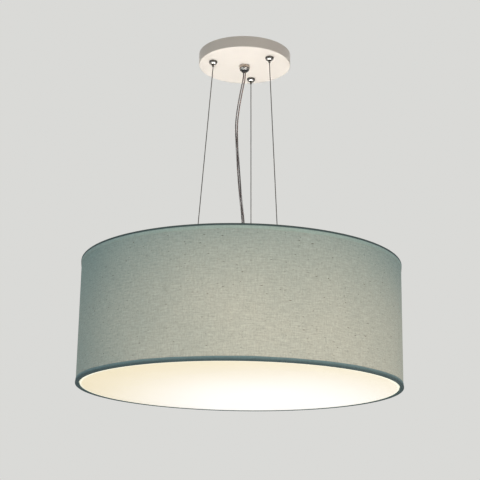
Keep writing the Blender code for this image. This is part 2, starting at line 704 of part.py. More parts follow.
def make_lamp(number, angle, pendant):
    """One lamp: bracket, holder, lead, and a bulb on its own axis."""
    axis = empty(f"lamp_axis_{number}", (0, 0, HOLDER_AXIS), (0, 0, angle), pendant)
    bulb_turn = (0, math.pi / 2, 0)
    rear = BRACKET_INNER + LAMP_BRACKET_THICKNESS + GAP
    top = HOLDER_AXIS_DROP - GAP
    under = top - LAMP_BRACKET_THICKNESS
    web = BRACKET_INNER + LAMP_BRACKET_THICKNESS
    reach = BRACKET_INNER + LAMP_BRACKET_REACH
    outline = [
        (BRACKET_INNER, top), (reach, top), (reach, under), (web, under),
        (web, -LAMP_BRACKET_TAIL), (BRACKET_INNER, -LAMP_BRACKET_TAIL),
    ]
    bracket = pressed(f"lampholder_bracket_{number}", outline, LAMP_BRACKET_WIDTH, axis)
    name = f"bracket_hole_{number}"
    low = BRACKET_INNER - CUT_OVERRUN
    hole = rod(name, LAMP_BRACKET_HOLE, low, web + CUT_OVERRUN, SMALL_SIDES, axis)
    hole.rotation_euler = bulb_turn
    cut(bracket, hole)
    finish(bracket, ZINC, 0.4, 1.0)

    socket = HOLDER_LENGTH - HOLDER_BORE_DEPTH
    entry = LEAD_RADIUS + GAP
    shoulder = HOLDER_NECK_LENGTH + HOLDER_STEP
    outline = [
        (entry, 0), (HOLDER_NECK_RADIUS, 0), (HOLDER_NECK_RADIUS, HOLDER_NECK_LENGTH),
        (HOLDER_RADIUS, shoulder), (HOLDER_RADIUS, HOLDER_LENGTH - HOLDER_LIP),
        (HOLDER_RADIUS - HOLDER_LIP / 2, HOLDER_LENGTH), (HOLDER_BORE, HOLDER_LENGTH),
        (HOLDER_BORE, socket), (entry, socket),
    ]
    holder = turned(f"lampholder_{number}", outline, TURNED_SIDES, axis)
    holder.location = (rear, 0, 0)
    holder.rotation_euler = bulb_turn
    finish(holder, WHITE_SATIN, 0.35)

    box_floor = HOLDER_AXIS_DROP - GAP - BOX_HEIGHT
    turn_down = box_floor / 2
    route = [
        (LEAD_EXIT, 0, box_floor + BOX_WALL + LEAD_RADIUS), (LEAD_EXIT, 0, box_floor),
        (LEAD_EXIT, 0, box_floor - LEAD_RADIUS * 2),
        (LEAD_EXIT + LEAD_RADIUS, 0, turn_down),
        (LEAD_EXIT + LEAD_RADIUS * 3, 0, turn_down / 3), (BRACKET_INNER - LEAD_RADIUS * 2, 0, 0),
        (BRACKET_INNER, 0, 0), (rear + LEAD_INSERT, 0, 0),
    ]
    lead = tube(f"lampholder_lead_{number}", smooth_route(route, 2), LEAD_RADIUS, 1, axis)
    finish(lead, NYLON, 0.4)

    contact = rear + socket + GAP
    make_bulb(number, contact, bulb_turn, axis)


def make_bulb(number, contact, bulb_turn, axis):
    """A screw cap and the opal globe seated in it."""
    seat = CONTACT_HEIGHT + INSULATOR_HEIGHT
    pitch = THREAD_LENGTH / THREAD_TURNS
    valley = THREAD_RADIUS - THREAD_DEPTH
    end = seat + THREAD_LENGTH + CAP_SKIRT
    inner = valley - CAP_WALL
    outline = [(0, 0), (CONTACT_RADIUS, 0), (CONTACT_RADIUS, CONTACT_HEIGHT), (valley, seat)]
    for thread in range(THREAD_TURNS):
        outline.append((THREAD_RADIUS, seat + pitch * (thread + 1 / 2)))
        outline.append((valley, seat + pitch * (thread + 1)))
    outline += [(valley + CAP_WALL / 2, end), (GLOBE_NECK_RADIUS + GAP, end)]
    outline += [(GLOBE_NECK_RADIUS + GAP, end - CAP_SKIRT), (inner, seat + CAP_WALL)]
    outline += [(0, seat + CAP_WALL)]
    cap = turned(f"bulb_cap_{number}", outline, LAMP_SIDES, axis)
    cap.location = (contact, 0, 0)
    cap.rotation_euler = bulb_turn
    finish(cap, ZINC, 0.3, 1.0)

    base = end - GLOBE_NECK_INSERT
    radius_shares = (0.43, 0.58, 0.80, 0.95, 1.0, 0.955, 0.82, 0.56, 0.25)
    height_shares = (0.10, 0.25, 0.42, 0.56, 0.68, 0.81, 0.905, 0.97, 0.995)
    outside = [(GLOBE_NECK_RADIUS, 0), (GLOBE_NECK_RADIUS, GLOBE_NECK_INSERT + GAP)]
    outside += [
        (GLOBE_RADIUS * radius, GLOBE_LENGTH * height)
        for radius, height in zip(radius_shares, height_shares)
    ]
    inside = [
        (radius - GLOBE_WALL, height - GLOBE_WALL * (height / GLOBE_LENGTH))
        for radius, height in outside[::2]
    ]
    outline = [(0, GLOBE_LENGTH - GLOBE_WALL)] + inside[::-1] + outside + [(0, GLOBE_LENGTH)]
    globe = turned(f"bulb_globe_{number}", outline, LAMP_SIDES, axis)
    globe.location = (contact + base, 0, 0)
    globe.rotation_euler = bulb_turn
    finish(globe, OPAL, 0.3)


def make_thumbscrews(pendant):
    """Three thumbscrews that clamp the shade's plate to the carrier plate."""
    for number, angle in enumerate(arm_angles(THUMBSCREW_AZIMUTH), 1):
        base = SPIDER_PLATE_TOP + GAP
        collar = THUMBSCREW_HEAD_RADIUS - THUMBSCREW_COLLAR
        step = base + THUMBSCREW_COLLAR
        top = base + THUMBSCREW_HEAD_HEIGHT
        outline = [
            (0, base - THUMBSCREW_LENGTH), (THUMBSCREW_RADIUS, base - THUMBSCREW_LENGTH),
            (THUMBSCREW_RADIUS, base), (collar, base), (collar, step),
            (THUMBSCREW_HEAD_RADIUS, step), (THUMBSCREW_HEAD_RADIUS, top), (0, top),
        ]
        screw = turned(f"shade_thumbscrew_{number}", outline, SMALL_SIDES, pendant)
        screw.location = around(THUMBSCREW_CIRCLE, angle)
        finish(screw, NICKEL, 0.3, 1.0)


# Shade pieces

def ring_outline(height):
    """The round section of a shade ring's wire."""
    points = []
    for step in range(RING_WIRE_SIDES):
        turn = 2 * math.pi * (step + 1 / 2) / RING_WIRE_SIDES
        radius = RING_CENTRE + RING_WIRE_RADIUS * math.cos(turn)
        points.append((radius, height + RING_WIRE_RADIUS * math.sin(turn)))
    return points


def make_spider(pendant):
    """The shade's upper ring, three spokes and clamping plate, welded into one frame."""
    outline = [
        (SPIDER_PLATE_INNER, SPIDER_PLATE_TOP), (SPIDER_PLATE_INNER, SPIDER_PLATE_BOTTOM),
        (SPIDER_PLATE_OUTER, SPIDER_PLATE_BOTTOM), (SPIDER_PLATE_OUTER, SPIDER_PLATE_TOP),
    ]
    spider = turned("shade_spider", outline, TURNED_SIDES, pendant)
    ring_height = SHADE_TOP - RING_INSET
    ring = turned("upper_ring_shape", ring_outline(ring_height), SHADE_SIDES, pendant)
    plate_height = SPIDER_PLATE_TOP + SPOKE_RADIUS / 2
    start = Vector((SPIDER_PLATE_OUTER - SPOKE_WELD, 0, plate_height))
    end = Vector((RING_CENTRE, 0, ring_height))
    run = end - start
    for number, angle in enumerate(arm_angles(LAMP_AZIMUTH), 1):
        name = f"spoke_shape_{number}"
        axis = empty(f"spoke_axis_{number}", (0, 0, 0), (0, 0, angle), pendant)
        spoke = rod(name, SPOKE_RADIUS, 0, run.length, SPOKE_SIDES, axis)
        spoke.location = start
        spoke.rotation_euler = (0, math.atan2(run.x, run.z), 0)
        join(spider, spoke)
    join(spider, ring)
    low = SPIDER_PLATE_BOTTOM - CUT_OVERRUN
    high = SPIDER_PLATE_TOP + CUT_OVERRUN
    for number, angle in enumerate(arm_angles(THUMBSCREW_AZIMUTH), 1):
        name = f"spider_screw_hole_{number}"
        hole = rod(name, THUMBSCREW_RADIUS + GAP, low, high, SMALL_SIDES, pendant)
        hole.location = around(THUMBSCREW_CIRCLE, angle)
        cut(spider, hole)
    finish(spider, WHITE_SATIN, 0.45)


def make_shade_wall(pendant):
    """The lining and the fabric round it, between the two trims' folds."""
    inset = TRIM_THICKNESS + GAP
    low = SHADE_BOTTOM + inset
    high = SHADE_TOP - inset
    for name, inner, outer, color, roughness in (
        ("shade_liner", LINER_INNER, LINER_OUTER, WHITE_SATIN, 0.5),
        ("shade_fabric", FABRIC_INNER, FABRIC_OUTER, TEAL_LINEN, 0.9),
    ):
        outline = [(inner, low), (outer, low), (outer, high), (inner, high)]
        finish(turned(name, outline, SHADE_SIDES, pendant), color, roughness)


def make_trim(name, edge, inward, face, pendant):
    """A folded tape over one edge of the shade and the ring inside it.

    inward is +1 on the lower edge and -1 on the upper one.
    """
    fold = edge + inward * TRIM_THICKNESS
    lip = edge + inward * TRIM_LIP
    outline = [
        (SHADE_RADIUS - TRIM_THICKNESS, edge + inward * face),
        (SHADE_RADIUS, edge + inward * face), (SHADE_RADIUS, edge), (TRIM_INNER, edge),
        (TRIM_INNER, lip), (TRIM_INNER_WRAP, lip), (TRIM_INNER_WRAP, fold),
        (SHADE_RADIUS - TRIM_THICKNESS, fold),
    ]
    trim = turned(name, outline, SHADE_SIDES, pendant)
    finish(trim, TEAL_TRIM, 0.9)
    return trim


def make_trims(pendant):
    """Both trims; the upper one is notched for the spokes."""
    make_trim("shade_trim_bottom", SHADE_BOTTOM, 1, TRIM_BOTTOM_FACE, pendant)
    upper = make_trim("shade_trim_top", SHADE_TOP, -1, TRIM_TOP_FACE, pendant)
    half = SPOKE_NOTCH_WIDTH / 2
    low = SHADE_TOP - TRIM_LIP - CUT_OVERRUN
    high = SHADE_TOP - TRIM_THICKNESS - GAP / 2
    for number, angle in enumerate(arm_angles(LAMP_AZIMUTH), 1):
        axis = empty(f"notch_axis_{number}", (0, 0, 0), (0, 0, angle), pendant)
        inner = (TRIM_INNER - CUT_OVERRUN, -half, low)
        outer = (TRIM_INNER_WRAP + RING_WIRE_RADIUS / 2, half, high)
        cut(upper, box(f"notch_shape_{number}", inner, outer, axis))


def make_lower_ring(pendant):
    """The wire ring inside the lower fold."""
    height = SHADE_BOTTOM + RING_INSET
    ring = turned("shade_bottom_ring", ring_outline(height), SHADE_SIDES, pendant)
    finish(ring, WHITE_SATIN, 0.45)


def make_diffuser(pendant):
    """The opal panel; its stepped rim rests on the lower fold."""
    wall = TRIM_INNER - DIFFUSER_CLEARANCE
    panel_low = SHADE_BOTTOM + DIFFUSER_RECESS
    panel_high = panel_low + DIFFUSER_THICKNESS
    rim_low = SHADE_BOTTOM + TRIM_LIP + GAP
    rim_high = rim_low + DIFFUSER_THICKNESS
    reach = wall + DIFFUSER_RIM_REACH
    outline = [
        (0, panel_low), (wall, panel_low), (wall, rim_low), (reach, rim_low), (reach, rim_high),
        (wall - DIFFUSER_THICKNESS, rim_high), (wall - DIFFUSER_THICKNESS, panel_high),
        (0, panel_high),
    ]
    diffuser = turned("diffuser", outline, SHADE_SIDES, pendant)
    finish(diffuser, OPAL, 0.35)


def build():
    """Clear the scene and make the whole lamp."""
    for old in list(bpy.data.objects):
        bpy.data.objects.remove(old)
    root = empty("ceiling_axis")
    pendant = empty("pendant_axis")
    make_bracket(root)
    make_canopy(root)
    make_grub_screws(root)
    make_terminal_block(root)
    make_gland(root)
    make_cores(root)
    for number, angle in enumerate(arm_angles(WIRE_AZIMUTH), 1):
        make_gripper(number, angle, root)
        make_wire(number, angle, pendant)
    make_flex(pendant)
    make_carrier(pendant)
    make_junction_box(pendant)
    for number, angle in enumerate(arm_angles(LAMP_AZIMUTH), 1):
        make_lamp(number, angle, pendant)
    make_thumbscrews(pendant)
    make_spider(pendant)
    make_shade_wall(pendant)
    make_trims(pendant)
    make_lower_ring(pendant)
    make_diffuser(pendant)


build()
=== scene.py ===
# A three-lamp drum pendant, dressed: a white canopy, three stranded wires in polished
# grippers, a clear flex over twisted cores, and a linen drum shade closed by an opal diffuser.
# Metres, +Z up; the ceiling is at z = 0 and the lamp hangs below it.

import math

import bmesh
import bpy
from mathutils import Matrix, Vector


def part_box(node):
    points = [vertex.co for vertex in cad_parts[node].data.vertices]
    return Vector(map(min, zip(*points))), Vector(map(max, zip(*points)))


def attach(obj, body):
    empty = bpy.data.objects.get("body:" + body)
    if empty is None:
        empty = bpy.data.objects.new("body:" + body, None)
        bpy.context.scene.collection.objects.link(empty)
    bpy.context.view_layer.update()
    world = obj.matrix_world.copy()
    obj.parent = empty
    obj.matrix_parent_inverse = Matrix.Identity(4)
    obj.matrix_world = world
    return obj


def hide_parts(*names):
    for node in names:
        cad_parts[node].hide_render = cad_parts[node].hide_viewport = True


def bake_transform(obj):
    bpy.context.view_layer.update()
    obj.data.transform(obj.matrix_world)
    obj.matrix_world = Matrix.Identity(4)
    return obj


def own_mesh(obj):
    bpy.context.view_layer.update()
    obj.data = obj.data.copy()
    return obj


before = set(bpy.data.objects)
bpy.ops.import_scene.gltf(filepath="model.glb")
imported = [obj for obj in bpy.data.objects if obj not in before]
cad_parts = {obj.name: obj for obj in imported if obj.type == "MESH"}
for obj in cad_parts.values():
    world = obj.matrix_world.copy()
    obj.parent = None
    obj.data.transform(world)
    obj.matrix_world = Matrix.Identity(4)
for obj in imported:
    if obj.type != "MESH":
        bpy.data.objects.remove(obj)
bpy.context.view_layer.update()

# Clearances
GAP = 0.0003
WELD = 0.00001

# Directions about the lamp's axis
ARM_COUNT = 3
WIRE_AZIMUTH = math.radians(-42)
LAMP_AZIMUTH = math.radians(18)
THUMBSCREW_AZIMUTH = math.radians(48)
ARM_STEP = 2 * math.pi / ARM_COUNT

# Heights and radii read from the frame
CANOPY_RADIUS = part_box("canopy")[1].x
CANOPY_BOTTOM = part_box("canopy")[0].z
SHADE_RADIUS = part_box("shade_trim_top")[1].x
SHADE_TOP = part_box("shade_trim_top")[1].z
SHADE_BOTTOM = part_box("shade_trim_bottom")[0].z
CARRIER_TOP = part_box("carrier_plate")[1].z
CARRIER_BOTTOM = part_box("carrier_plate")[0].z
CARRIER_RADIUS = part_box("carrier_plate")[1].x
BOX_LOW, BOX_HIGH = (corner.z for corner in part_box("junction_box"))

# Canopy and its hardware
BRACKET_WALL = 0.0015
CANOPY_WALL = 0.001
CANOPY_EDGE = 0.0012
CANOPY_SIDES = 160
GRIPPER_CIRCLE = 0.054
GRIPPER_HOLE = 0.0043
GLAND_HOLE = 0.0053
GRUB_DROP = 0.008
GRUB_HOLE = 0.0018

# Suspension wires, flex and cores
WIRE_RADIUS = 0.00075
STRAND_RADIUS = 0.00027
STRAND_COUNT = 6
STRAND_LAY = 0.0085
STRAND_POINTS_PER_LAY = 9
WIRE_TOP = -0.006
WIRE_MOUTH = -0.0295
WIRE_BEND = 0.006
WIRE_LANDING = 0.0058
ANCHOR_CIRCLE = 0.078
FLEX_RADIUS = 0.0025
FLEX_CORE_RADIUS = 0.0009
FLEX_CORE_OFFSET = 0.00155
FLEX_CORE_LAY = 0.180
FLEX_CORE_STRAIGHT = 0.110
FLEX_ROUTE = [
    (0, 0, -0.0095), (0, 0, -0.0190), (0, 0, -0.0305), (-0.0003, 0.0002, -0.0400),
    (-0.0031, 0.0010, -0.0565), (-0.0062, 0.0022, -0.0742), (-0.0089, 0.0038, -0.0920),
    (-0.0114, 0.0060, -0.1180), (-0.0108, 0.0074, -0.1460), (-0.0086, 0.0080, -0.1780),
    (-0.0059, 0.0072, -0.2120), (-0.0030, 0.0056, -0.2440), (0.0004, 0.0036, -0.2740),
    (0.0026, 0.0020, -0.3020), (0.0030, 0.0009, -0.3280), (0.0016, 0.0002, -0.3520),
    (0.0003, 0, -0.3680), (0, 0, -0.3780), (0, 0, -0.3850), (0, 0, -0.3935),
]
LIVE_CORE_ROUTE = [
    (0, 0.00125, -0.0090), (0.0006, 0.0017, -0.0066), (0.0034, 0.0032, -0.0052),
    (0.0082, 0.0058, -0.0060), (0.0130, 0.0076, -0.0085), (0.0170, 0.0080, -0.0093),
    (0.0210, 0.0080, -0.0093),
]
NEUTRAL_CORE_ROUTE = [(x, -y, z) for x, y, z in LIVE_CORE_ROUTE]
CORE_RADIUS = 0.001
LEAD_RADIUS = 0.0015

# Shade
CLOTH = 0.0005
FABRIC_OUTER = 0.2492
FABRIC_TOP = SHADE_TOP - 0.0008
FABRIC_BOTTOM = SHADE_BOTTOM + 0.0008
FABRIC_SEAM = 0.012
LAP_STEP = 0.6
CLOTH_WAVE = 0.00006
LINEN_THICKNESS = CLOTH * 0.8
LINER_OUTER = 0.2484
LINER_FILM = 0.0003
RING_CENTRE = 0.2460
RING_WIRE = 0.0016
RING_INSET = 0.0024
TRIM_TOP_FACE = 0.0085
TRIM_BOTTOM_FACE = 0.0068
TRIM_INNER = 0.2436
TRIM_LIP = 0.0043
TAPE_FEATHER_SHARE = 0.6
TAPE_DRIFT = 0.00016
SHADE_SIDES = 256

# The carrier plate and what the thumbscrews clamp to it
THUMBSCREW_CIRCLE = 0.055
THUMBSCREW_HOLE = 0.0023
WIRE_HOLE = 0.0022
CABLE_HOLE = 0.0055
SPOKE_RADIUS = 0.0015

# Lamps
HOLDER_AXIS = -0.445
HOLDER_REAR = 0.0228
BULB_CONTACT = 0.0451
LEAD_CIRCLE = 0.008

# Steps along a cord's curve, round a bend in a profile, and round a dome
ROUTE_STEPS = 8
BEND_STEPS = 5
DOME_STEPS = 12


# Shapes

def arm_angles(first):
    """The azimuths of three like pieces."""
    return [first + ARM_STEP * index for index in range(ARM_COUNT)]


def around(radius, angle, height=0.0):
    """A point at a radius and an azimuth."""
    return Vector((radius * math.cos(angle), radius * math.sin(angle), height))


def upright(radius, angle, height):
    """A frame that stands at a radius and an azimuth, its Z up."""
    return Matrix.Rotation(angle, 4, "Z") @ Matrix.Translation((radius, 0, height))


def outward(radius, angle, height):
    """A frame at a radius and an azimuth, its Z pointing away from the lamp's axis."""
    return upright(radius, angle, height) @ Matrix.Rotation(math.pi / 2, 4, "Y")


def smooth_route(points, per_run):
    """Points on the smooth curve through a route's own points."""
    route = [Vector(p) for p in points]
    route = [2 * route[0] - route[1]] + route + [2 * route[-1] - route[-2]]
    smooth = []
    for a, b, c, d in zip(route, route[1:], route[2:], route[3:]):
        for step in range(per_run):
            t = step / per_run
            smooth.append(
                b + (c - a) * t / 2 + (2 * a - 5 * b + 4 * c - d) * t * t / 2
                + (3 * b - a - 3 * c + d) * t**3 / 2
            )
    smooth.append(route[-2])
    return smooth


def smooth_profile(points, per_run):
    """A smooth outline through (radius, height) points."""
    route = smooth_route([(radius, 0, height) for radius, height in points], per_run)
    return [(max(point.x, 0), point.z) for point in route]


def arc(centre, radius, start, end, steps):
    """Points along an arc in a profile; angles in degrees."""
    points = []
    for step in range(steps + 1):
        turn = math.radians(start + (end - start) * step / steps)
        points.append((centre[0] + radius * math.cos(turn), centre[1] + radius * math.sin(turn)))
    return points


def dome(inner, outer, shoulder, tip):
    """A profile's quarter of an oval, from its shoulder in to its tip."""
    turns = [math.pi / 2 * step / DOME_STEPS for step in range(1, DOME_STEPS + 1)]
    return [(inner + (outer - inner) * math.cos(turn), shoulder + (tip - shoulder) * math.sin(turn))
            for turn in turns]


def threads(crest, root, low, high, count):
    """A zigzag profile of screw threads between two heights."""
    pitch = (high - low) / count
    points = []
    for turn in range(count):
        start = low + pitch * turn
        points += [(root, start), (root, start + pitch / 4), (crest, start + pitch / 2)]
        points += [(crest, start + 3 * pitch / 4)]
    return points + [(root, high)]


def turned(outline, sides, closed=True):
    """Spin (radius, height) points about Z. Points that start off the axis close as a loop."""
    bm = bmesh.new()
    points = [bm.verts.new((radius, 0, height)) for radius, height in outline]
    edges = [bm.edges.new(pair) for pair in zip(points, points[1:])]
    if closed and outline[0][0] > 0:
        edges.append(bm.edges.new((points[-1], points[0])))
    bmesh.ops.spin(
        bm, geom=points + edges, cent=(0, 0, 0), axis=(0, 0, 1), dvec=(0, 0, 0),
        angle=2 * math.pi, steps=sides, use_merge=True, use_duplicate=False,
    )
    settle(bm)
    return bm


def settle(bm):
    """Merge what meets, and point every face outwards."""
    bmesh.ops.remove_doubles(bm, verts=bm.verts, dist=WELD)
    bmesh.ops.recalc_face_normals(bm, faces=bm.faces)
    return bm


def soften(bm, width, segments=2, angle=32):
    """Round the sharp edges of a closed shape."""
    limit = math.radians(angle)
    sharp = [e for e in bm.edges if len(e.link_faces) == 2 and e.calc_face_angle(0) > limit]
    bmesh.ops.bevel(
        bm, geom=sharp, offset=width, offset_type="OFFSET", affect="EDGES", segments=segments,
        profile=0.5, material=-1, clamp_overlap=True,
    )
    return bm


def place(bm, frame_matrix):
    """Move a shape into a frame."""
    bmesh.ops.transform(bm, matrix=frame_matrix, verts=bm.verts)
    return bm


def block(low, high):
    """A block between two corners."""
    bm = bmesh.new()
    bmesh.ops.create_cube(bm, size=1.0)
    size = Vector(high) - Vector(low)
    bmesh.ops.scale(bm, vec=size, verts=bm.verts)
    bmesh.ops.translate(bm, vec=Vector(low) + size / 2, verts=bm.verts)
    return bm


def of_kind(geometry, kind):
    """The verts or edges among what an operator gives back."""
    return [item for item in geometry if isinstance(item, kind)]


def flat_sheet(loops, height):
    """A flat sheet with holes: loops of (x, y) points, the outer one first."""
    bm = bmesh.new()
    for loop in loops:
        points = [bm.verts.new((x, y, height)) for x, y in loop]
        for pair in zip(points, points[1:] + points[:1]):
            bm.edges.new(pair)
    bmesh.ops.triangle_fill(bm, use_beauty=True, use_dissolve=False, edges=bm.edges[:])
    return bm


def plate(loops, low, high):
    """A flat plate with holes, between two heights."""
    bm = flat_sheet(loops, low)
    grown = bmesh.ops.extrude_face_region(bm, geom=bm.faces[:])["geom"]
    bmesh.ops.translate(bm, vec=(0, 0, high - low), verts=of_kind(grown, bmesh.types.BMVert))
    return settle(bm)


def circle(radius, sides, centre=(0, 0)):
    """Points round a circle."""
    return arc(centre, radius, 0, 360, sides)[:-1]


def holes(radius, sides, circle_radius, first):
    """Three like holes on a circle about the lamp's axis."""
    return [circle(radius, sides, around(circle_radius, angle)[:2]) for angle in arm_angles(first)]


def pressed(path, width, wall):
    """Sheet bent along an (x, z) path, as wide as given along Y."""
    bm = bmesh.new()
    points = [bm.verts.new((x, -width / 2, z)) for x, z in path]
    edges = [bm.edges.new(pair) for pair in zip(points, points[1:])]
    grown = bmesh.ops.extrude_edge_only(bm, edges=edges)["geom"]
    bmesh.ops.translate(bm, vec=(0, width, 0), verts=of_kind(grown, bmesh.types.BMVert))
    bmesh.ops.recalc_face_normals(bm, faces=bm.faces)
    bmesh.ops.solidify(bm, geom=bm.faces[:], thickness=wall)
    return settle(bm)


def mesh_of(name, bm):
    """A shape's mesh; the shape is used up."""
    mesh = bpy.data.meshes.new(name)
    bm.to_mesh(mesh)
    bm.free()
    return mesh


def added(name, data):
    """A new object in the scene."""
    obj = bpy.data.objects.new(name, data)
    bpy.context.scene.collection.objects.link(obj)
    return obj


def merged(*shapes):
    """Several loose shapes as one."""
    whole = bmesh.new()
    for bm in shapes:
        mesh = mesh_of("part", bm)
        whole.from_mesh(mesh)
        bpy.data.meshes.remove(mesh)
    return whole


def combined(bm, operation, *others):
    """Cut closed shapes out of another, or weld them to it."""
    whole = added("workpiece", mesh_of("workpiece", bm))
    tools = [added("tool", mesh_of("tool", other)) for other in others]
    for tool in tools:
        change = whole.modifiers.new("change", "BOOLEAN")
        change.operation = operation
        change.solver = "EXACT"
        change.object = tool
    result = bmesh.new()
    result.from_object(whole, bpy.context.evaluated_depsgraph_get())
    for used in [whole, *tools]:
        bpy.data.objects.remove(used)
    bmesh.ops.remove_doubles(result, verts=result.verts, dist=WELD)
    return result


def drilled(bm, *cuts):
    """A shape with others cut out of it."""
    return combined(bm, "DIFFERENCE", *cuts)


def pushed(bm, change):
    """Move each point out by change(distance, azimuth, height), away from the Z axis."""
    for vert in bm.verts:
        out = math.hypot(vert.co.x, vert.co.y)
        if out > 0:
            grow = 1 + change(out, math.atan2(vert.co.y, vert.co.x), vert.co.z) / out
            vert.co.x *= grow
            vert.co.y *= grow
    return bm


def tint(bm, index, belongs):
    """Give the faces that belong, by distance from Z and height, one of a piece's finishes."""
    for face in bm.faces:
        middle = face.calc_center_median()
        if belongs(math.hypot(middle.x, middle.y), middle.z):
            face.material_index = index


def rod(radius, low, high, sides=24):
    """A plain round bar along Z."""
    return turned([(0, low), (radius, low), (radius, high), (0, high)], sides)


def framed(points):
    """Each point of a line, with a steady sideways direction and the direction along the line."""
    side = Vector((0, 1, 0))
    for index, centre in enumerate(points):
        before = points[max(index - 1, 0)]
        after = points[min(index + 1, len(points) - 1)]
        along = (after - before).normalized()
        side = (side - along * side.dot(along)).normalized()
        yield centre, side, along


def cable(points, radius, sides=12, twist=0.0, offset=0.0, phase=0.0, straight=0.0):
    """A round cord along points, or wound round them at an offset with a lay length."""
    line = [Vector(point) for point in points]
    runs = [0.0]
    for a, b in zip(line, line[1:]):
        runs.append(runs[-1] + (b - a).length)
    if offset:
        wound = []
        for run, (centre, side, along) in zip(runs, framed(line)):
            angle = phase + 2 * math.pi * max(0, run - straight) / twist
            out = side * math.cos(angle) + along.cross(side) * math.sin(angle)
            wound.append(centre + offset * out)
        line = wound
    bm = bmesh.new()
    uv = bm.loops.layers.uv.new("cord")
    rings = []
    for run, (centre, side, along) in zip(runs, framed(line)):
        turn = Matrix((side, along.cross(side), along)).transposed().to_4x4()
        turn.translation = centre
        rim = bmesh.ops.create_circle(bm, segments=sides, radius=radius, matrix=turn)
        rings.append((rim["verts"], run))
    strip = 2 * math.pi * radius / sides
    for (low, start), (high, end) in zip(rings, rings[1:]):
        for corner in range(sides):
            follow = (corner + 1) % sides
            face = bm.faces.new((low[corner], low[follow], high[follow], high[corner]))
            left, right = corner * strip, (corner + 1) * strip
            spots = ((left, start), (right, start), (right, end), (left, end))
            for loop, spot in zip(face.loops, spots):
                loop[uv].uv = spot
    bm.faces.new(reversed(rings[0][0]))
    bm.faces.new(rings[-1][0])
    bmesh.ops.recalc_face_normals(bm, faces=bm.faces)
    return bm


def rolled_uv(bm, radius):
    """Lay a turned shape's surface flat: metres round it, and metres up or across it."""
    uv = bm.loops.layers.uv.new("cloth")
    for face in bm.faces:
        turns = [math.atan2(loop.vert.co.y, loop.vert.co.x) for loop in face.loops]
        seam = max(turns) - min(turns) > math.pi
        for loop, turn in zip(face.loops, turns):
            if seam and turn < 0:
                turn += 2 * math.pi
            out = math.hypot(loop.vert.co.x, loop.vert.co.y)
            loop[uv].uv = (turn * radius, loop.vert.co.z + radius - out)
    return bm


def finished(name, bm, finish, slot, body, *nodes, crease=34):
    """Turn a shape into a piece with its finish, riding on a body in place of CAD nodes."""
    mesh = mesh_of(name, bm)
    mesh.shade_smooth()
    mesh.set_sharp_from_angle(angle=math.radians(crease))
    obj = added(name, mesh)
    for material in finish if isinstance(finish, tuple) else (finish,):
        mesh.materials.append(material)
    if nodes:
        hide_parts(*nodes)
    if body:
        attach(obj, body)
    return obj


# Finishes: linear colours, depths and heights in metres, and azimuths and widths in degrees

NOISE_REACH = (0.3, 0.7)

# The glow through the shade: azimuth, width, strength, and how high each lobe reaches
GLOW_LOBES = ((-82, 64, 1.0, "high"), (38, 36, 0.75, "high"), (140, 36, 0.75, "high"),
              (-27, 29, 0.24, "low"))
GLOW_FALL = 2.25
GLOW_TOP_LOSS = 0.45
GLOW_LOW_FULL = 0.3

LINEN_COLOR = (0.098, 0.251, 0.276)
LINEN_FLECK = (0.050, 0.105, 0.112)
LINEN_GLOW = (0.438, 0.318, 0.210)
TAPE_COLOR = (0.168, 0.278, 0.308)
TAPE_GLOW = (0.345, 0.330, 0.200)
# Painted shade on the tape: its tone at the lower fold and along the crown over the upper ring
TAPE_FOLD_SHADE = 0.36
TAPE_CROWN_SHADE = 0.27
TAPE_LOW_GLOW_SHARE = 0.15
LINING_COLOR = (0.74, 0.72, 0.67)
LINING_GLOW = (0.12, 0.098, 0.066)

# The diffuser: its bright patch, and a painted highlight along its rim inside the tape's fold
SPOT_SQUEEZE = 0.70
SPOT_CENTRE = (0.054, 0.129, 0.0)
SPOT_CORE = 0.08
SPOT_REACH = 0.352
OPAL_COLOR = (0.66, 0.64, 0.60)
OPAL_EDGE_GLOW = (0.500, 0.402, 0.203)
OPAL_SPOT_GLOW = (0.700, 0.680, 0.670)
OPAL_RIM = (0.2385, 0.2425)
OPAL_RIM_HIGHLIGHT = (0.70, 0.70, 0.55)
OPAL_INSIDE_GLOW = 0.25

# The globes: how far out from the lamp's axis they brighten
GLOBE_NECK = (0.072, 0.105)
GLOBE_GLOW = (1.0, 0.86, 0.66)
GLOBE_COLOR = (0.86, 0.84, 0.80)

# The flex: the run over which its sheath and its cores darken further down, as painted shade
SHEATH_SHADE_RUN = (0.09, 0.15)
SHEATH_CLEAR = (0.42, 0.32, 0.28)
SHEATH_SHADED = (0.072, 0.060, 0.058)
CORE_SHADE_RUN = (0.06, 0.19)

# Metals; each band of painted shade gives the height where the metal is still bright, where it is
# darkest, and how dark it is there
POLISHED = (0.62, 0.59, 0.55)
METAL_LINES = (900.0, 900.0, 60.0)
METAL_BUMP = 0.00001
# Painted shade on polished nickel: where the caps meet the canopy, and at the top and mouth of the
# gland's dome
CAP_PAINTED_SHADE = ((CANOPY_BOTTOM - 0.0050, CANOPY_BOTTOM - 0.0030, 0.26),)
DOME_PAINTED_SHADE = (
    (CANOPY_BOTTOM - 0.0063, CANOPY_BOTTOM - 0.0050, 0.22),
    (CANOPY_BOTTOM - 0.0077, CANOPY_BOTTOM - 0.0083, 0.25),
)


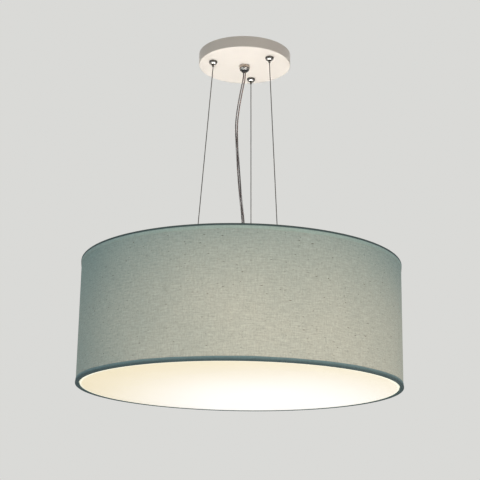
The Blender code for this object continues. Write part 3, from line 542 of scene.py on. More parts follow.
class Graph:
    """A node tree with short ways to add the nodes that the finishes use."""

    def __init__(self, tree):
        self.tree = tree

    def add(self, kind, inputs=None, **settings):
        """Add a node, with its settings and its inputs by name or index."""
        node = self.tree.nodes.new(kind)
        for key, value in settings.items():
            setattr(node, key, value)
        for key, value in (inputs or {}).items():
            self.feed(node.inputs[key], value)
        return node

    def feed(self, socket, value):
        """Link a socket to another, or set its value."""
        if isinstance(value, bpy.types.NodeSocket):
            self.tree.links.new(value, socket)
        else:
            socket.default_value = value

    def math(self, operation, a, b=0.0, clamp=False):
        """A number worked out from two others."""
        node = self.add("ShaderNodeMath", {0: a, 1: b}, operation=operation, use_clamp=clamp)
        return node.outputs[0]

    def plus(self, a, b):
        """The sum of two numbers."""
        return self.math("ADD", a, b)

    def minus(self, a, b):
        """One number less another."""
        return self.math("SUBTRACT", a, b)

    def times(self, a, b):
        """The product of two numbers."""
        return self.math("MULTIPLY", a, b)

    def vector(self, operation, a, b):
        """A vector worked out from two others."""
        return self.add("ShaderNodeVectorMath", {0: a, 1: b}, operation=operation).outputs[0]

    def measure(self, operation, a, b=(0.0, 0.0, 0.0)):
        """A number worked out from two vectors."""
        node = self.add("ShaderNodeVectorMath", {0: a, 1: b}, operation=operation)
        return node.outputs["Value"]

    def grain(self, vector, stretch, detail=3.0, roughness=0.5):
        """A noise value that is finer along some ways than others."""
        return self.noise(self.vector("MULTIPLY", vector, stretch), 1.0, detail, roughness)

    def group(self, tree, **inputs):
        """Place a node group and give its outputs."""
        return self.add("ShaderNodeGroup", inputs, node_tree=tree).outputs

    def level(self, place):
        """A place brought down to the height of zero."""
        return self.vector("MULTIPLY", place, (1.0, 1.0, 0.0))

    def uv(self, name):
        """A piece's own flat metres."""
        return self.add("ShaderNodeUVMap", uv_map=name).outputs[0]

    def place(self):
        """Where a point is on the lamp."""
        return self.add("ShaderNodeTexCoord").outputs["Object"]

    def toned(self, tone, color):
        """A colour made lighter or darker by a tone."""
        scale = self.add("ShaderNodeCombineColor", {0: tone, 1: tone, 2: tone}).outputs[0]
        color = color if isinstance(color, bpy.types.NodeSocket) else (*color, 1)
        return self.blend(1.0, color, scale, "MULTIPLY")

    def bumped(self, height, distance):
        """A normal from a height in metres."""
        return self.add("ShaderNodeBump", {"Height": height, "Distance": distance}).outputs[0]

    def noise(self, vector, scale, detail=3.0, roughness=0.5):
        """A noise value from 0 to 1."""
        inputs = {"Vector": vector, "Scale": scale, "Detail": detail, "Roughness": roughness}
        return self.add("ShaderNodeTexNoise", inputs).outputs["Fac"]

    def ramp(self, value, low, high, out_low=0.0, out_high=1.0, smooth=True):
        """Map a value's range to another, held at its ends."""
        inputs = {0: value, 1: low, 2: high, 3: out_low, 4: out_high}
        kind = "SMOOTHSTEP" if smooth else "LINEAR"
        return self.add("ShaderNodeMapRange", inputs, interpolation_type=kind).outputs[0]

    def spread(self, noise, low, high):
        """A noise value spread between two numbers."""
        return self.ramp(noise, *NOISE_REACH, low, high)

    def blend(self, share, a, b, kind="MIX"):
        """Mix two colours."""
        node = self.add("ShaderNodeMix", data_type="RGBA", blend_type=kind)
        for key, value in ((0, share), (6, a), (7, b)):
            self.feed(node.inputs[key], value)
        return node.outputs[2]

    def split(self, vector):
        """The three parts of a vector."""
        return self.add("ShaderNodeSeparateXYZ", {0: vector}).outputs

    def join(self, x, y, z=0.0):
        """A vector from its parts."""
        return self.add("ShaderNodeCombineXYZ", {0: x, 1: y, 2: z}).outputs[0]


def node_group(name, inputs, outputs):
    """An empty shader node group and its graph; sockets are (name, kind, value)."""
    tree = bpy.data.node_groups.new(name, "ShaderNodeTree")
    for label, kind, value in inputs:
        socket = tree.interface.new_socket(label, in_out="INPUT", socket_type="NodeSocket" + kind)
        if value is not None:
            socket.default_value = value
    for label, kind in outputs:
        tree.interface.new_socket(label, in_out="OUTPUT", socket_type="NodeSocket" + kind)
    graph = Graph(tree)
    entry = graph.add("NodeGroupInput").outputs
    leave = graph.add("NodeGroupOutput").inputs
    return tree, graph, entry, leave


def weave_group():
    """Plain weave from flat metres: raised threads, uneven yarn and dark slub flecks."""
    tree, g, given, out = node_group(
        "plain weave",
        [("Cloth", "Vector", None), ("Thread", "Float", 0.0006), ("Unevenness", "Float", 1.0)],
        [("Height", "Float"), ("Tone", "Float"), ("Fleck", "Float")],
    )
    wander = g.add("ShaderNodeTexNoise", {"Vector": given["Cloth"], "Scale": 90.0, "Detail": 2.0})
    shift = g.vector("SUBTRACT", wander.outputs["Color"], (0.5, 0.5, 0.5))
    reach = g.times(given["Thread"], 0.9)
    bent = g.vector("ADD", given["Cloth"], g.vector("MULTIPLY", shift, g.join(reach, reach)))
    u, v, _ = g.split(bent)
    pitch = g.math("DIVIDE", math.pi, given["Thread"])
    across = g.math("SINE", g.times(u, pitch))
    up = g.math("SINE", g.times(v, pitch))
    over = g.math("GREATER_THAN", g.times(across, up), 0.0)
    warp_thread = g.times(over, g.math("ABSOLUTE", across))
    thread = g.plus(warp_thread, g.times(g.minus(1.0, over), g.math("ABSOLUTE", up)))
    weft = g.times(g.grain(bent, (60.0, 900.0, 1.0), 2.0, 0.6), 0.40)
    warp = g.times(g.grain(bent, (800.0, 75.0, 1.0), 2.0, 0.6), 0.26)
    fibre = g.times(g.grain(bent, (330.0, 330.0, 1.0), 3.0, 0.65), 0.34)
    yarn = g.plus(g.plus(weft, warp), fibre)
    uneven = g.times(g.minus(yarn, 0.5), given["Unevenness"])
    tone = g.plus(g.times(thread, 0.16), g.times(uneven, 1.5))
    g.feed(out["Height"], g.plus(thread, g.times(uneven, 1.4)))
    g.feed(out["Tone"], g.plus(tone, 0.92))
    g.feed(out["Fleck"], g.ramp(g.grain(bent, (150.0, 430.0, 1.0), 1.0, 0.4), 0.69, 0.78))
    return tree


def glow_group():
    """How strongly the lamps light the shade at a place: lobes that fall off upwards."""
    tree, g, given, out = node_group("lamp glow", [("Place", "Vector", None)], [("Glow", "Float")])
    flat = g.level(given["Place"])
    way = g.add("ShaderNodeVectorMath", {0: flat}, operation="NORMALIZE").outputs[0]
    rise = g.ramp(g.split(given["Place"])[2], SHADE_BOTTOM, SHADE_TOP, smooth=False)
    fall = g.times(g.math("POWER", rise, GLOW_FALL), GLOW_TOP_LOSS)
    shares = {
        "high": g.minus(1.0, fall),
        "low": g.ramp(rise, GLOW_LOW_FULL, 1.0, 1.0, 0.0),
    }
    total = None
    for azimuth, width, strength, reach in GLOW_LOBES:
        facing = g.measure("DOT_PRODUCT", way, tuple(around(1, math.radians(azimuth))))
        fading = g.times(g.minus(facing, 1.0), 2 / math.radians(width) ** 2)
        lobe = g.times(g.math("EXPONENT", fading), strength)
        lobe = g.times(lobe, shares[reach])
        total = lobe if total is None else g.plus(total, lobe)
    g.feed(out["Glow"], total)
    return tree


def coat_group():
    """A powder coat: fine orange peel, faint mottling, and a few dust specks."""
    tree, g, given, out = node_group(
        "powder coat",
        [("Place", "Vector", None), ("Grain", "Float", 900.0)],
        [("Height", "Float"), ("Tone", "Float"), ("Roughness", "Float")],
    )
    peel = g.noise(given["Place"], given["Grain"], 2.0, 0.5)
    mottle = g.noise(given["Place"], 14.0, 3.0, 0.55)
    speck = g.ramp(g.noise(given["Place"], 1400.0, 1.0, 0.3), 0.74, 0.82)
    tone = g.plus(g.spread(mottle, 0.965, 1.0), g.times(speck, -0.10))
    g.feed(out["Height"], peel)
    g.feed(out["Tone"], tone)
    g.feed(out["Roughness"], g.ramp(peel, 0.35, 0.65, -0.05, 0.05))
    return tree


def metal_group():
    """Drawn or turned metal: fine lines along one way, smears, and dull spots."""
    tree, g, given, out = node_group(
        "metal lines",
        [("Place", "Vector", None), ("Lines", "Vector", METAL_LINES)],
        [("Height", "Float"), ("Tone", "Float"), ("Roughness", "Float")],
    )
    lines = g.grain(given["Place"], given["Lines"], 3.0, 0.6)
    smear = g.noise(given["Place"], 160.0, 3.0, 0.6)
    spots = g.ramp(g.noise(given["Place"], 520.0, 2.0, 0.5), 0.60, 0.72)
    tone = g.times(g.spread(lines, 0.90, 1.0), g.spread(smear, 0.93, 1.0))
    g.feed(out["Height"], lines)
    g.feed(out["Tone"], g.minus(tone, g.times(spots, 0.10)))
    g.feed(out["Roughness"], g.plus(g.spread(smear, -0.03, 0.07), g.times(spots, 0.08)))
    return tree


WEAVE = weave_group()
GLOW = glow_group()
COAT = coat_group()
METAL = metal_group()


def new_finish(name, **constants):
    """A material, its graph and its shader, with the sockets that stay constant set."""
    material = bpy.data.materials.new(name)
    material.use_nodes = True
    g = Graph(material.node_tree)
    shader = material.node_tree.nodes["Principled BSDF"]
    for key, value in constants.items():
        shader.inputs[key.replace("_", " ")].default_value = value
    return material, g, shader.inputs


def powdered(g, shader, place, color, roughness, grain, bump):
    """Give a shader the powder coat's tone, roughness and height."""
    coat = g.group(COAT, Place=place, Grain=grain)
    g.feed(shader["Base Color"], g.toned(coat["Tone"], color))
    g.feed(shader["Roughness"], g.plus(coat["Roughness"], roughness))
    g.feed(shader["Normal"], g.bumped(coat["Height"], bump))


def coated(name, color, roughness, grain=900.0, bump=0.00004):
    """A powder-coated or moulded surface."""
    material, g, shader = new_finish(name)
    powdered(g, shader, g.place(), color, roughness, grain, bump)
    return material


def metallic(name, color, roughness, shade_bands=()):
    """A turned, drawn or plated metal surface, darkened in bands of painted shade by height."""
    material, g, shader = new_finish(name, Metallic=1.0)
    place = g.place()
    metal = g.group(METAL, Place=place, Lines=METAL_LINES)
    tone = metal["Tone"]
    # Painted shade: each band darkens the metal towards a height.
    for bright_height, dull_height, dull_tone in shade_bands:
        dull = g.ramp(g.split(place)[2], bright_height, dull_height, 1.0, dull_tone)
        tone = g.times(tone, dull)
    g.feed(shader["Base Color"], g.toned(tone, color))
    g.feed(shader["Roughness"], g.math("ADD", metal["Roughness"], roughness, clamp=True))
    g.feed(shader["Normal"], g.bumped(metal["Height"], METAL_BUMP))
    return material


def linen():
    """Teal grey linen with the lamps glowing through it."""
    material, g, shader = new_finish(
        "teal_linen", Roughness=0.92, Sheen_Weight=0.05, Sheen_Roughness=0.5,
        Specular_IOR_Level=0.15, Emission_Strength=1.0,
    )
    flat = g.uv("cloth")
    weave = g.group(WEAVE, Cloth=flat, Thread=0.00062, Unevenness=1.12)
    yarn = g.toned(weave["Tone"], LINEN_COLOR)
    g.feed(shader["Base Color"], g.blend(weave["Fleck"], yarn, (*LINEN_FLECK, 1)))
    glow = g.group(GLOW, Place=g.place())["Glow"]
    cloudy = g.spread(g.noise(flat, 9.0), 0.95, 1.04)
    shaded = g.minus(1.0, g.times(weave["Fleck"], 0.5))
    through = g.times(g.times(glow, weave["Tone"]), cloudy)
    g.feed(shader["Emission Color"], g.toned(g.times(through, shaded), LINEN_GLOW))
    g.feed(shader["Normal"], g.bumped(weave["Height"], 0.00012))
    return material


def tape():
    """The cotton tape folded over the shade's edges, with painted shade at its folds."""
    material, g, shader = new_finish(
        "teal_tape", Roughness=0.9, Sheen_Weight=0.04, Specular_IOR_Level=0.15,
        Emission_Strength=1.0,
    )
    weave = g.group(WEAVE, Cloth=g.uv("cloth"), Thread=0.00048, Unevenness=0.7)
    place = g.place()
    height = g.split(place)[2]
    # Painted shade: darker towards the lower fold and along the crown over the upper ring; the
    # fold's mask also dims the lower glow.
    fold = g.ramp(height, SHADE_BOTTOM, SHADE_BOTTOM + TRIM_BOTTOM_FACE, TAPE_FOLD_SHADE, 1.0)
    crown_low, crown_high = SHADE_TOP - 2.4 * RING_WIRE, SHADE_TOP - 1.6 * RING_WIRE
    crown_shade = g.ramp(height, crown_low, crown_high, 1.0, TAPE_CROWN_SHADE)
    tone = g.times(g.times(fold, crown_shade), weave["Tone"])
    g.feed(shader["Base Color"], g.toned(tone, TAPE_COLOR))
    ring_under = SHADE_TOP - 2 * RING_WIRE
    clear = g.ramp(height, ring_under - CLOTH, ring_under, 1.0, 0.0)
    above = g.math("GREATER_THAN", height, (SHADE_TOP + SHADE_BOTTOM) / 2)
    upper = g.times(clear, above)
    lower = g.times(fold, TAPE_LOW_GLOW_SHARE)
    through = g.times(g.math("MAXIMUM", upper, lower), weave["Tone"])
    glow = g.group(GLOW, Place=place)["Glow"]
    g.feed(shader["Emission Color"], g.toned(g.times(through, glow), TAPE_GLOW))
    g.feed(shader["Normal"], g.bumped(weave["Height"], 0.0001))
    return material


def lining():
    """White lining film, lit by the lamps from within."""
    material, g, shader = new_finish("lining_film", Emission_Strength=1.0)
    place = g.place()
    powdered(g, shader, place, LINING_COLOR, 0.5, 260.0, 0.00003)
    glow = g.group(GLOW, Place=place)["Glow"]
    g.feed(shader["Emission Color"], g.toned(glow, LINING_GLOW))
    return material


def opal_sheet():
    """The opal diffuser, brightest under the lamps."""
    material, g, shader = new_finish("opal_sheet", Emission_Strength=1.0, Coat_Weight=0.1)
    place = g.place()
    away = g.measure("DISTANCE", g.vector("MULTIPLY", place, (1.0, SPOT_SQUEEZE, 0.0)), SPOT_CENTRE)
    spot = g.ramp(away, SPOT_CORE, SPOT_REACH, 1.0, 0.0)
    spot = g.times(spot, g.spread(g.noise(place, 6.0), 0.97, 1.03))
    glow = g.blend(spot, (*OPAL_EDGE_GLOW, 1), (*OPAL_SPOT_GLOW, 1))
    out = g.measure("LENGTH", g.level(place))
    # A painted highlight along the rim, where the panel bends up.
    glow = g.blend(g.ramp(out, *OPAL_RIM, 0.0, 0.8), glow, (*OPAL_RIM_HIGHLIGHT, 1))
    facing = g.split(g.add("ShaderNodeTexCoord").outputs["Normal"])[2]
    below = g.ramp(facing, -0.4, 0.6, 1.0, OPAL_INSIDE_GLOW)
    g.feed(shader["Emission Color"], g.toned(below, glow))
    powdered(g, shader, place, OPAL_COLOR, 0.38, 500.0, 0.00001)
    return material


def opal_glass():
    """A lit opal globe: brighter at its middle than at its neck."""
    material, g, shader = new_finish("opal_glass", Emission_Strength=1.0, Coat_Weight=0.3)
    place = g.place()
    out = g.measure("LENGTH", g.level(place))
    g.feed(shader["Emission Color"], g.toned(g.ramp(out, *GLOBE_NECK, 0.35, 1.0), GLOBE_GLOW))
    dust = g.noise(place, 260.0, 2.0)
    g.feed(shader["Base Color"], g.toned(g.spread(dust, 0.94, 1.0), GLOBE_COLOR))
    g.feed(shader["Roughness"], g.spread(dust, 0.22, 0.34))
    return material


def clear_sheath():
    """Clear sheath: see-through face on, milkier at its outline, painted shade further down."""
    material, g, shader = new_finish("clear_sheath", IOR=1.45)
    flat = g.uv("cord")
    haze = g.grain(flat, (500.0, 40.0, 1.0), 2.0)
    # Painted shade: the sheath darkens and turns less see-through further down the flex.
    painted_shade = g.ramp(g.split(flat)[1], *SHEATH_SHADE_RUN)
    outline = g.add("ShaderNodeLayerWeight", {"Blend": 0.4}).outputs["Facing"]
    haze_and_shade = g.plus(g.times(painted_shade, 0.26), g.spread(haze, 0.03, 0.10))
    rim = g.times(g.ramp(outline, 0.2, 1.0), g.ramp(painted_shade, 0.0, 1.0, 0.20, 0.44))
    g.feed(shader["Alpha"], g.math("ADD", haze_and_shade, rim, clamp=True))
    g.feed(shader["Roughness"], g.spread(haze, 0.10, 0.20))
    g.feed(shader["Base Color"], g.blend(painted_shade, (*SHEATH_CLEAR, 1), (*SHEATH_SHADED, 1)))
    return material


def insulated(name, color, painted_shade=1.0):
    """Smooth insulation on a core or lead, darkened further along it as painted shade."""
    material, g, shader = new_finish(name, Coat_Weight=0.15)
    flat = g.uv("cord")
    streak = g.grain(flat, (900.0, 60.0, 1.0))
    darker = g.ramp(g.split(flat)[1], *CORE_SHADE_RUN, 1.0, painted_shade)
    tone = g.times(g.spread(streak, 0.88, 1.05), darker)
    g.feed(shader["Base Color"], g.toned(tone, color))
    g.feed(shader["Roughness"], g.spread(streak, 0.30, 0.44))
    g.feed(shader["Normal"], g.bumped(streak, 0.00001))
    return material


# The canopy's coat is set darker than its white, as painted shade on its side; the lamp_glow light
# lifts its underside.
WHITE_COAT = coated("white_powder_coat", (0.505, 0.448, 0.392), 0.42)
WHITE_FRAME = coated("white_epoxy", (0.78, 0.77, 0.74), 0.45, 700.0, 0.00005)
WHITE_MOULDED = coated("white_thermoplastic", (0.80, 0.79, 0.76), 0.32, 400.0, 0.000015)
NYLON = coated("natural_nylon", (0.68, 0.66, 0.60), 0.48, 500.0, 0.00002)
DARK_GLASS = coated("black_insulator", (0.015, 0.014, 0.016), 0.2, 300.0, 0.00001)
RUBBER = coated("black_rubber", (0.018, 0.017, 0.017), 0.6, 600.0, 0.00002)
CAP_NICKEL = metallic("cap_nickel", POLISHED, 0.06, CAP_PAINTED_SHADE)
DOME_NICKEL = metallic("dome_nickel", POLISHED, 0.06, DOME_PAINTED_SHADE)
COLLAR_NICKEL = metallic("collar_nickel", (0.50, 0.43, 0.37), 0.26)
# Dark nickel on the plungers; the grippers' cap mouths take it too, as painted shade.
PLUNGER_NICKEL = metallic("plunger_nickel", (0.12, 0.11, 0.10), 0.20)
SATIN_NICKEL = metallic("satin_nickel", (0.56, 0.54, 0.50), 0.30)
ZINC = metallic("zinc_plate", (0.56, 0.57, 0.58), 0.36)
WIRE_STEEL = metallic("wire_steel", (0.11, 0.10, 0.09), 0.36)
SPRING_STEEL = metallic("spring_steel", (0.40, 0.40, 0.40), 0.35)
SCREW_STEEL = metallic("blackened_steel", (0.22, 0.22, 0.23), 0.42)
BRASS = metallic("brass", (0.66, 0.50, 0.25), 0.3)
LINEN = linen()
TAPE = tape()
LINING = lining()
OPAL = opal_sheet()
GLOBE = opal_glass()
SHEATH = clear_sheath()
BROWN = insulated("brown_insulation", (0.20, 0.085, 0.045))
BLUE = insulated("blue_insulation", (0.055, 0.14, 0.34))
# The flex's cores take painted shade further down.
FLEX_ROSE = insulated("rose_copper_core", (0.135, 0.083, 0.067), 0.5)
FLEX_GREY = insulated("tinned_grey_core", (0.104, 0.080, 0.072), 0.5)
LEAD_WHITE = insulated("white_lead", (0.72, 0.71, 0.67))


# The camera first, then the cords

CAMERA_PLACE = (0, -1.8818, -0.8432)
CAMERA_YAW = -0.0015
CAMERA_PITCH = 0.2727
CAMERA_ROLL = 0.0164
CAMERA_LENS = 92.6
SENSOR_WIDTH = 36.0


def make_camera():
    """The photograph's viewpoint, fitted to the rims of the shade and the canopy."""
    data = bpy.data.cameras.new("viewpoint")
    data.lens = CAMERA_LENS
    data.sensor_width = SENSOR_WIDTH
    camera = added("viewpoint", data)
    pan = Matrix.Rotation(-CAMERA_YAW, 4, "Z")
    tilt = Matrix.Rotation(math.pi / 2 + CAMERA_PITCH, 4, "X")
    roll = Matrix.Rotation(CAMERA_ROLL, 4, "Z")
    camera.matrix_world = Matrix.Translation(CAMERA_PLACE) @ pan @ tilt @ roll
    bpy.context.scene.camera = camera


def wire_route(angle):
    """One suspension wire's line, from inside the canopy down to its ferrule."""
    landing = CARRIER_TOP + WIRE_LANDING
    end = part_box("suspension_wire_1")[0].z
    spread = ANCHOR_CIRCLE - GRIPPER_CIRCLE
    slope = spread / (WIRE_MOUTH - landing)
    sway = slope * WIRE_BEND / 4
    outline = [
        (GRIPPER_CIRCLE, WIRE_TOP), (GRIPPER_CIRCLE, WIRE_MOUTH),
        (GRIPPER_CIRCLE + sway, WIRE_MOUTH - WIRE_BEND / 2),
        (GRIPPER_CIRCLE + slope * WIRE_BEND, WIRE_MOUTH - WIRE_BEND),
        (ANCHOR_CIRCLE - slope * WIRE_BEND, landing + WIRE_BEND),
        (ANCHOR_CIRCLE - sway, landing + WIRE_BEND / 2),
        (ANCHOR_CIRCLE, landing), (ANCHOR_CIRCLE, end),
    ]
    return [around(radius, angle, height) for radius, height in outline]


def spaced(points, step):
    """Points a given step apart along a line."""
    line = [points[0]]
    for a, b in zip(points, points[1:]):
        count = max(1, round((b - a).length / step))
        line += [a.lerp(b, (index + 1) / count) for index in range(count)]
    return line


def take_up(piece):
    """Hang a cord on the ceiling's body, on a mesh of its own."""
    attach(piece, "ceiling")
    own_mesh(piece)


def make_wires():
    """Three stranded steel wires, six strands round a core."""
    for number, angle in enumerate(arm_angles(WIRE_AZIMUTH), 1):
        line = spaced(wire_route(angle), STRAND_LAY / STRAND_POINTS_PER_LAY)
        strands = [cable(line, STRAND_RADIUS, 5)]
        for strand in range(STRAND_COUNT):
            phase = 2 * math.pi * strand / STRAND_COUNT
            offset = WIRE_RADIUS - STRAND_RADIUS
            strands.append(cable(line, STRAND_RADIUS, 5, STRAND_LAY, offset, phase))
        node = f"suspension_wire_{number}"
        wire = finished(node + "_rope", merged(*strands), WIRE_STEEL, "wire_steel", None, node)
        take_up(wire)


def make_flex():
    """The slack flex: a clear sheath over two twisted cores."""
    line = smooth_route(FLEX_ROUTE, ROUTE_STEPS)
    sheath = finished(
        "flex_sheath", cable(line, FLEX_RADIUS, 24), SHEATH, "clear_flex", None, "flex_cable"
    )
    inside = []
    for name, phase, finish in (
        ("flex_live_core", math.pi / 2, FLEX_ROSE), ("flex_neutral_core", -math.pi / 2, FLEX_GREY),
    ):
        wound = cable(
            line, FLEX_CORE_RADIUS, 14, FLEX_CORE_LAY, FLEX_CORE_OFFSET, phase, FLEX_CORE_STRAIGHT
        )
        inside.append(finished(name, wound, finish, "clear_flex", None))
    for part in [sheath, *inside]:
        take_up(part)


# Ceiling pieces

def grub_bore(reach):
    """The round cut across the lamp for both grub screws."""
    return place(rod(GRUB_HOLE, -reach, reach), outward(0, 0, -GRUB_DROP))


def make_canopy():
    """The pressed white cup, with holes for the gland, the grippers and two screws."""
    flat_radius = CANOPY_RADIUS - CANOPY_EDGE
    loops = [circle(flat_radius, CANOPY_SIDES), circle(GLAND_HOLE, 32)]
    loops += holes(GRIPPER_HOLE, 24, GRIPPER_CIRCLE, WIRE_AZIMUTH)
    bm = flat_sheet(loops, CANOPY_BOTTOM)
    rim = [e for e in bm.edges
           if e.is_boundary and e.verts[0].co.length > CANOPY_RADIUS - 2 * CANOPY_EDGE]
    bend = arc((flat_radius, CANOPY_BOTTOM + CANOPY_EDGE), CANOPY_EDGE, -90, 0, BEND_STEPS)
    for radius, height in bend[1:] + [(CANOPY_RADIUS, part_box("canopy")[1].z)]:
        grown = bmesh.ops.extrude_edge_only(bm, edges=rim)["geom"]
        rim = of_kind(grown, bmesh.types.BMEdge)
        for vert in of_kind(grown, bmesh.types.BMVert):
            vert.co = around(radius, math.atan2(vert.co.y, vert.co.x), height)
    bmesh.ops.recalc_face_normals(bm, faces=bm.faces)
    bmesh.ops.solidify(bm, geom=bm.faces[:], thickness=CANOPY_WALL)
    settle(bm)
    bm = drilled(bm, grub_bore(CANOPY_RADIUS + CANOPY_WALL))
    finished("canopy_cup", bm, WHITE_COAT, "canopy_white", "ceiling", "canopy")


def make_bracket():
    """The folded steel strap with its two screw slots."""
    low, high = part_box("ceiling_bracket")
    half, bend = high.x, 0.0025
    path = [(-half, low.z), *arc((bend - half, -bend), bend, 180, 90, BEND_STEPS)]
    path += [*arc((half - bend, -bend), bend, 90, 0, BEND_STEPS), (half, low.z)]
    strap = pressed(path, high.y - low.y, BRACKET_WALL)
    slot_place, slot_half, slot_radius, cable_hole = 0.052, 0.0057, 0.0023, 0.0045
    under, over = -2 * BRACKET_WALL, BRACKET_WALL
    cuts = [grub_bore(half * 2), rod(cable_hole, under, over)]
    for side in (-1, 1):
        middle = side * slot_place
        slot = arc((middle + slot_half, 0), slot_radius, -90, 90, 10)
        slot += arc((middle - slot_half, 0), slot_radius, 90, 270, 10)
        cuts.append(plate([slot], under, over))
    strap = soften(drilled(strap, *cuts), 0.00015, 1)
    finished("ceiling_strap", strap, ZINC, "zinc_steel", "ceiling", "ceiling_bracket")


def make_grub_screws():
    """Two flush grub screws with hexagon sockets."""
    low, high = (corner.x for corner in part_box("canopy_grub_screw_right"))
    crest, root, socket = 0.0015, 0.0013, 0.0009
    outline = [(0, low), (0.0008, low), *threads(crest, root, low + 0.0006, high - 0.0003, 14)]
    outline += [(root, high), (socket, high), (socket, high - 0.002), (0, high - 0.0023)]
    for side, label in ((0, "right"), (math.pi, "left")):
        screw = place(turned(outline, 18), outward(0, side, -GRUB_DROP))
        node = "canopy_grub_screw_" + label
        finished(node + "_part", screw, SCREW_STEEL, "screw_steel", "ceiling", node, crease=20)


def make_terminal_block():
    """Three moulded poles joined by webs, with brass screws and sleeves."""
    low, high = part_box("ceiling_terminal_block")
    middle = (low.x + high.x) / 2
    pole_pitch, pole_half, pole_height, screw_place = 0.008, 0.0036, 0.0105, 0.005
    lying = Matrix.Rotation(math.pi / 2, 4, "Y")
    head_top, head_low, head_radius, bevel = low.z + 0.0045, low.z + 0.0022, 0.0019, 0.0003
    head = [(0, head_low), (head_radius - bevel, head_low), (head_radius, head_low + bevel),
            (head_radius, head_top), (0, head_top)]
    sleeve = [(0.00135, -0.0085), (0.0018, -0.0085), (0.0018, 0.0085), (0.00135, 0.0085)]
    poles = []
    brass = []
    for pole in (-1, 0, 1):
        y = pole * pole_pitch
        body = block((low.x, y - pole_half, high.z - pole_height), (high.x, y + pole_half, high.z))
        body = soften(body, 0.0009, 3)
        bore = Matrix.Translation((0, y, high.z - 0.0075)) @ lying
        chimneys = []
        bores = [place(rod(0.0019, low.x - 0.001, high.x + 0.001), bore)]
        for side in (-1, 1):
            centre = Matrix.Translation((middle + side * screw_place, y, 0))
            chimneys.append(place(rod(0.0031, low.z, high.z - 0.006), centre))
            bores.append(place(rod(0.0022, low.z - 0.001, low.z + 0.004), centre))
            slot = block((-0.003, -0.0003, low.z + 0.001), (0.003, 0.0003, low.z + 0.0028))
            brass.append(place(drilled(turned(head, 20), slot), centre))
        poles.append(drilled(combined(body, "UNION", *chimneys), *bores))
        brass.append(place(turned(sleeve, 20), Matrix.Translation((middle, 0, 0)) @ bore))
    web = block((middle - 0.004, low.y + 0.002, high.z - 0.004),
                (middle + 0.004, high.y - 0.002, high.z - 0.0015))
    whole = merged(*poles, soften(web, 0.0003, 1))
    finished("terminal_block_body", whole, NYLON, "nylon", "ceiling", "ceiling_terminal_block")
    finished("terminal_block_brass", merged(*brass), BRASS, "cap_metal", "ceiling")


def hex_nut(name, node, width, height, bore, frame_matrix):
    """A hexagon nut with chamfered corners and a threaded bore."""
    flat, corner = width / 2, width / 2 / math.cos(math.pi / 6)
    chamfer, proud, thread_depth, pitch, spare = 0.6, 0.0002, 0.00035, 0.001, 0.001
    drop = height - (corner - flat) * chamfer
    cone = [(0, -spare), (corner * 2, -spare), (corner * 1.02, drop), (flat * 0.98, height)]
    blank = turned([(0, 0), (corner, 0), (corner, height), (0, height)], 6)
    blank = combined(blank, "INTERSECT", turned([*cone, (0, height)], 48))
    turns = max(3, round(height / pitch))
    wall = threads(bore, bore + thread_depth, -proud, height + proud, turns)
    hole = turned([(0, -proud), *wall, (0, height + proud)], 32)
    nut = place(drilled(blank, hole), frame_matrix)
    finished(name, nut, ZINC, "zinc_steel", "ceiling", node, crease=25)


def make_gland():
    """The gland that grips the flex: a satin collar, a polished dome, a rubber seal and a nut."""
    low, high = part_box("ceiling_cable_gland")
    radius, neck, bore, mouth, groove = high.x, 0.005, 0.0028, 0.0050, 0.00035
    seat = CANOPY_BOTTOM - GAP
    skirt = seat - 0.0042
    thread = threads(neck, neck - groove, seat + 0.0004, high.z - 0.0004, 7)
    outline = [(bore, high.z), (neck - 0.0004, high.z), *reversed(thread)]
    outline += [(neck - groove, seat), (radius - 0.0003, seat), (radius, seat - 0.0003)]
    tip, shoulder, dome_radius = low.z + 0.0022, skirt - 0.0003, radius - 0.0002
    outline += [(radius, skirt + 0.0003), (radius - 0.0009, skirt), (dome_radius, shoulder)]
    outline += dome(mouth + 0.0005, dome_radius, shoulder, tip)
    outline += [(mouth + 0.0002, tip), (mouth, tip + 0.0002), (mouth, tip + 0.0016)]
    outline += [(bore, tip + 0.0016)]
    gland = turned(outline, 64)
    tint(gland, 1, lambda out, height: height > skirt)
    finished("flex_gland", gland, (DOME_NICKEL, COLLAR_NICKEL), "nickel", "ceiling",
             "ceiling_cable_gland", crease=40)
    seal = [(bore, tip + 0.0014), (mouth - 0.0002, tip + 0.0014), (mouth - 0.0002, tip)]
    seal += arc((mouth - 0.0014, low.z + 0.0012), 0.0012, 0, -90, BEND_STEPS)
    seal += [(bore + 0.0004, low.z), (bore, low.z + 0.0004)]
    finished("flex_gland_seal", turned(seal, 48), RUBBER, "screw_steel", "ceiling")
    seat_frame = Matrix.Translation((0, 0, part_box("ceiling_gland_nut")[0].z))
    hex_nut("flex_gland_nut", "ceiling_gland_nut", 0.015, 0.0035, neck + GAP, seat_frame)


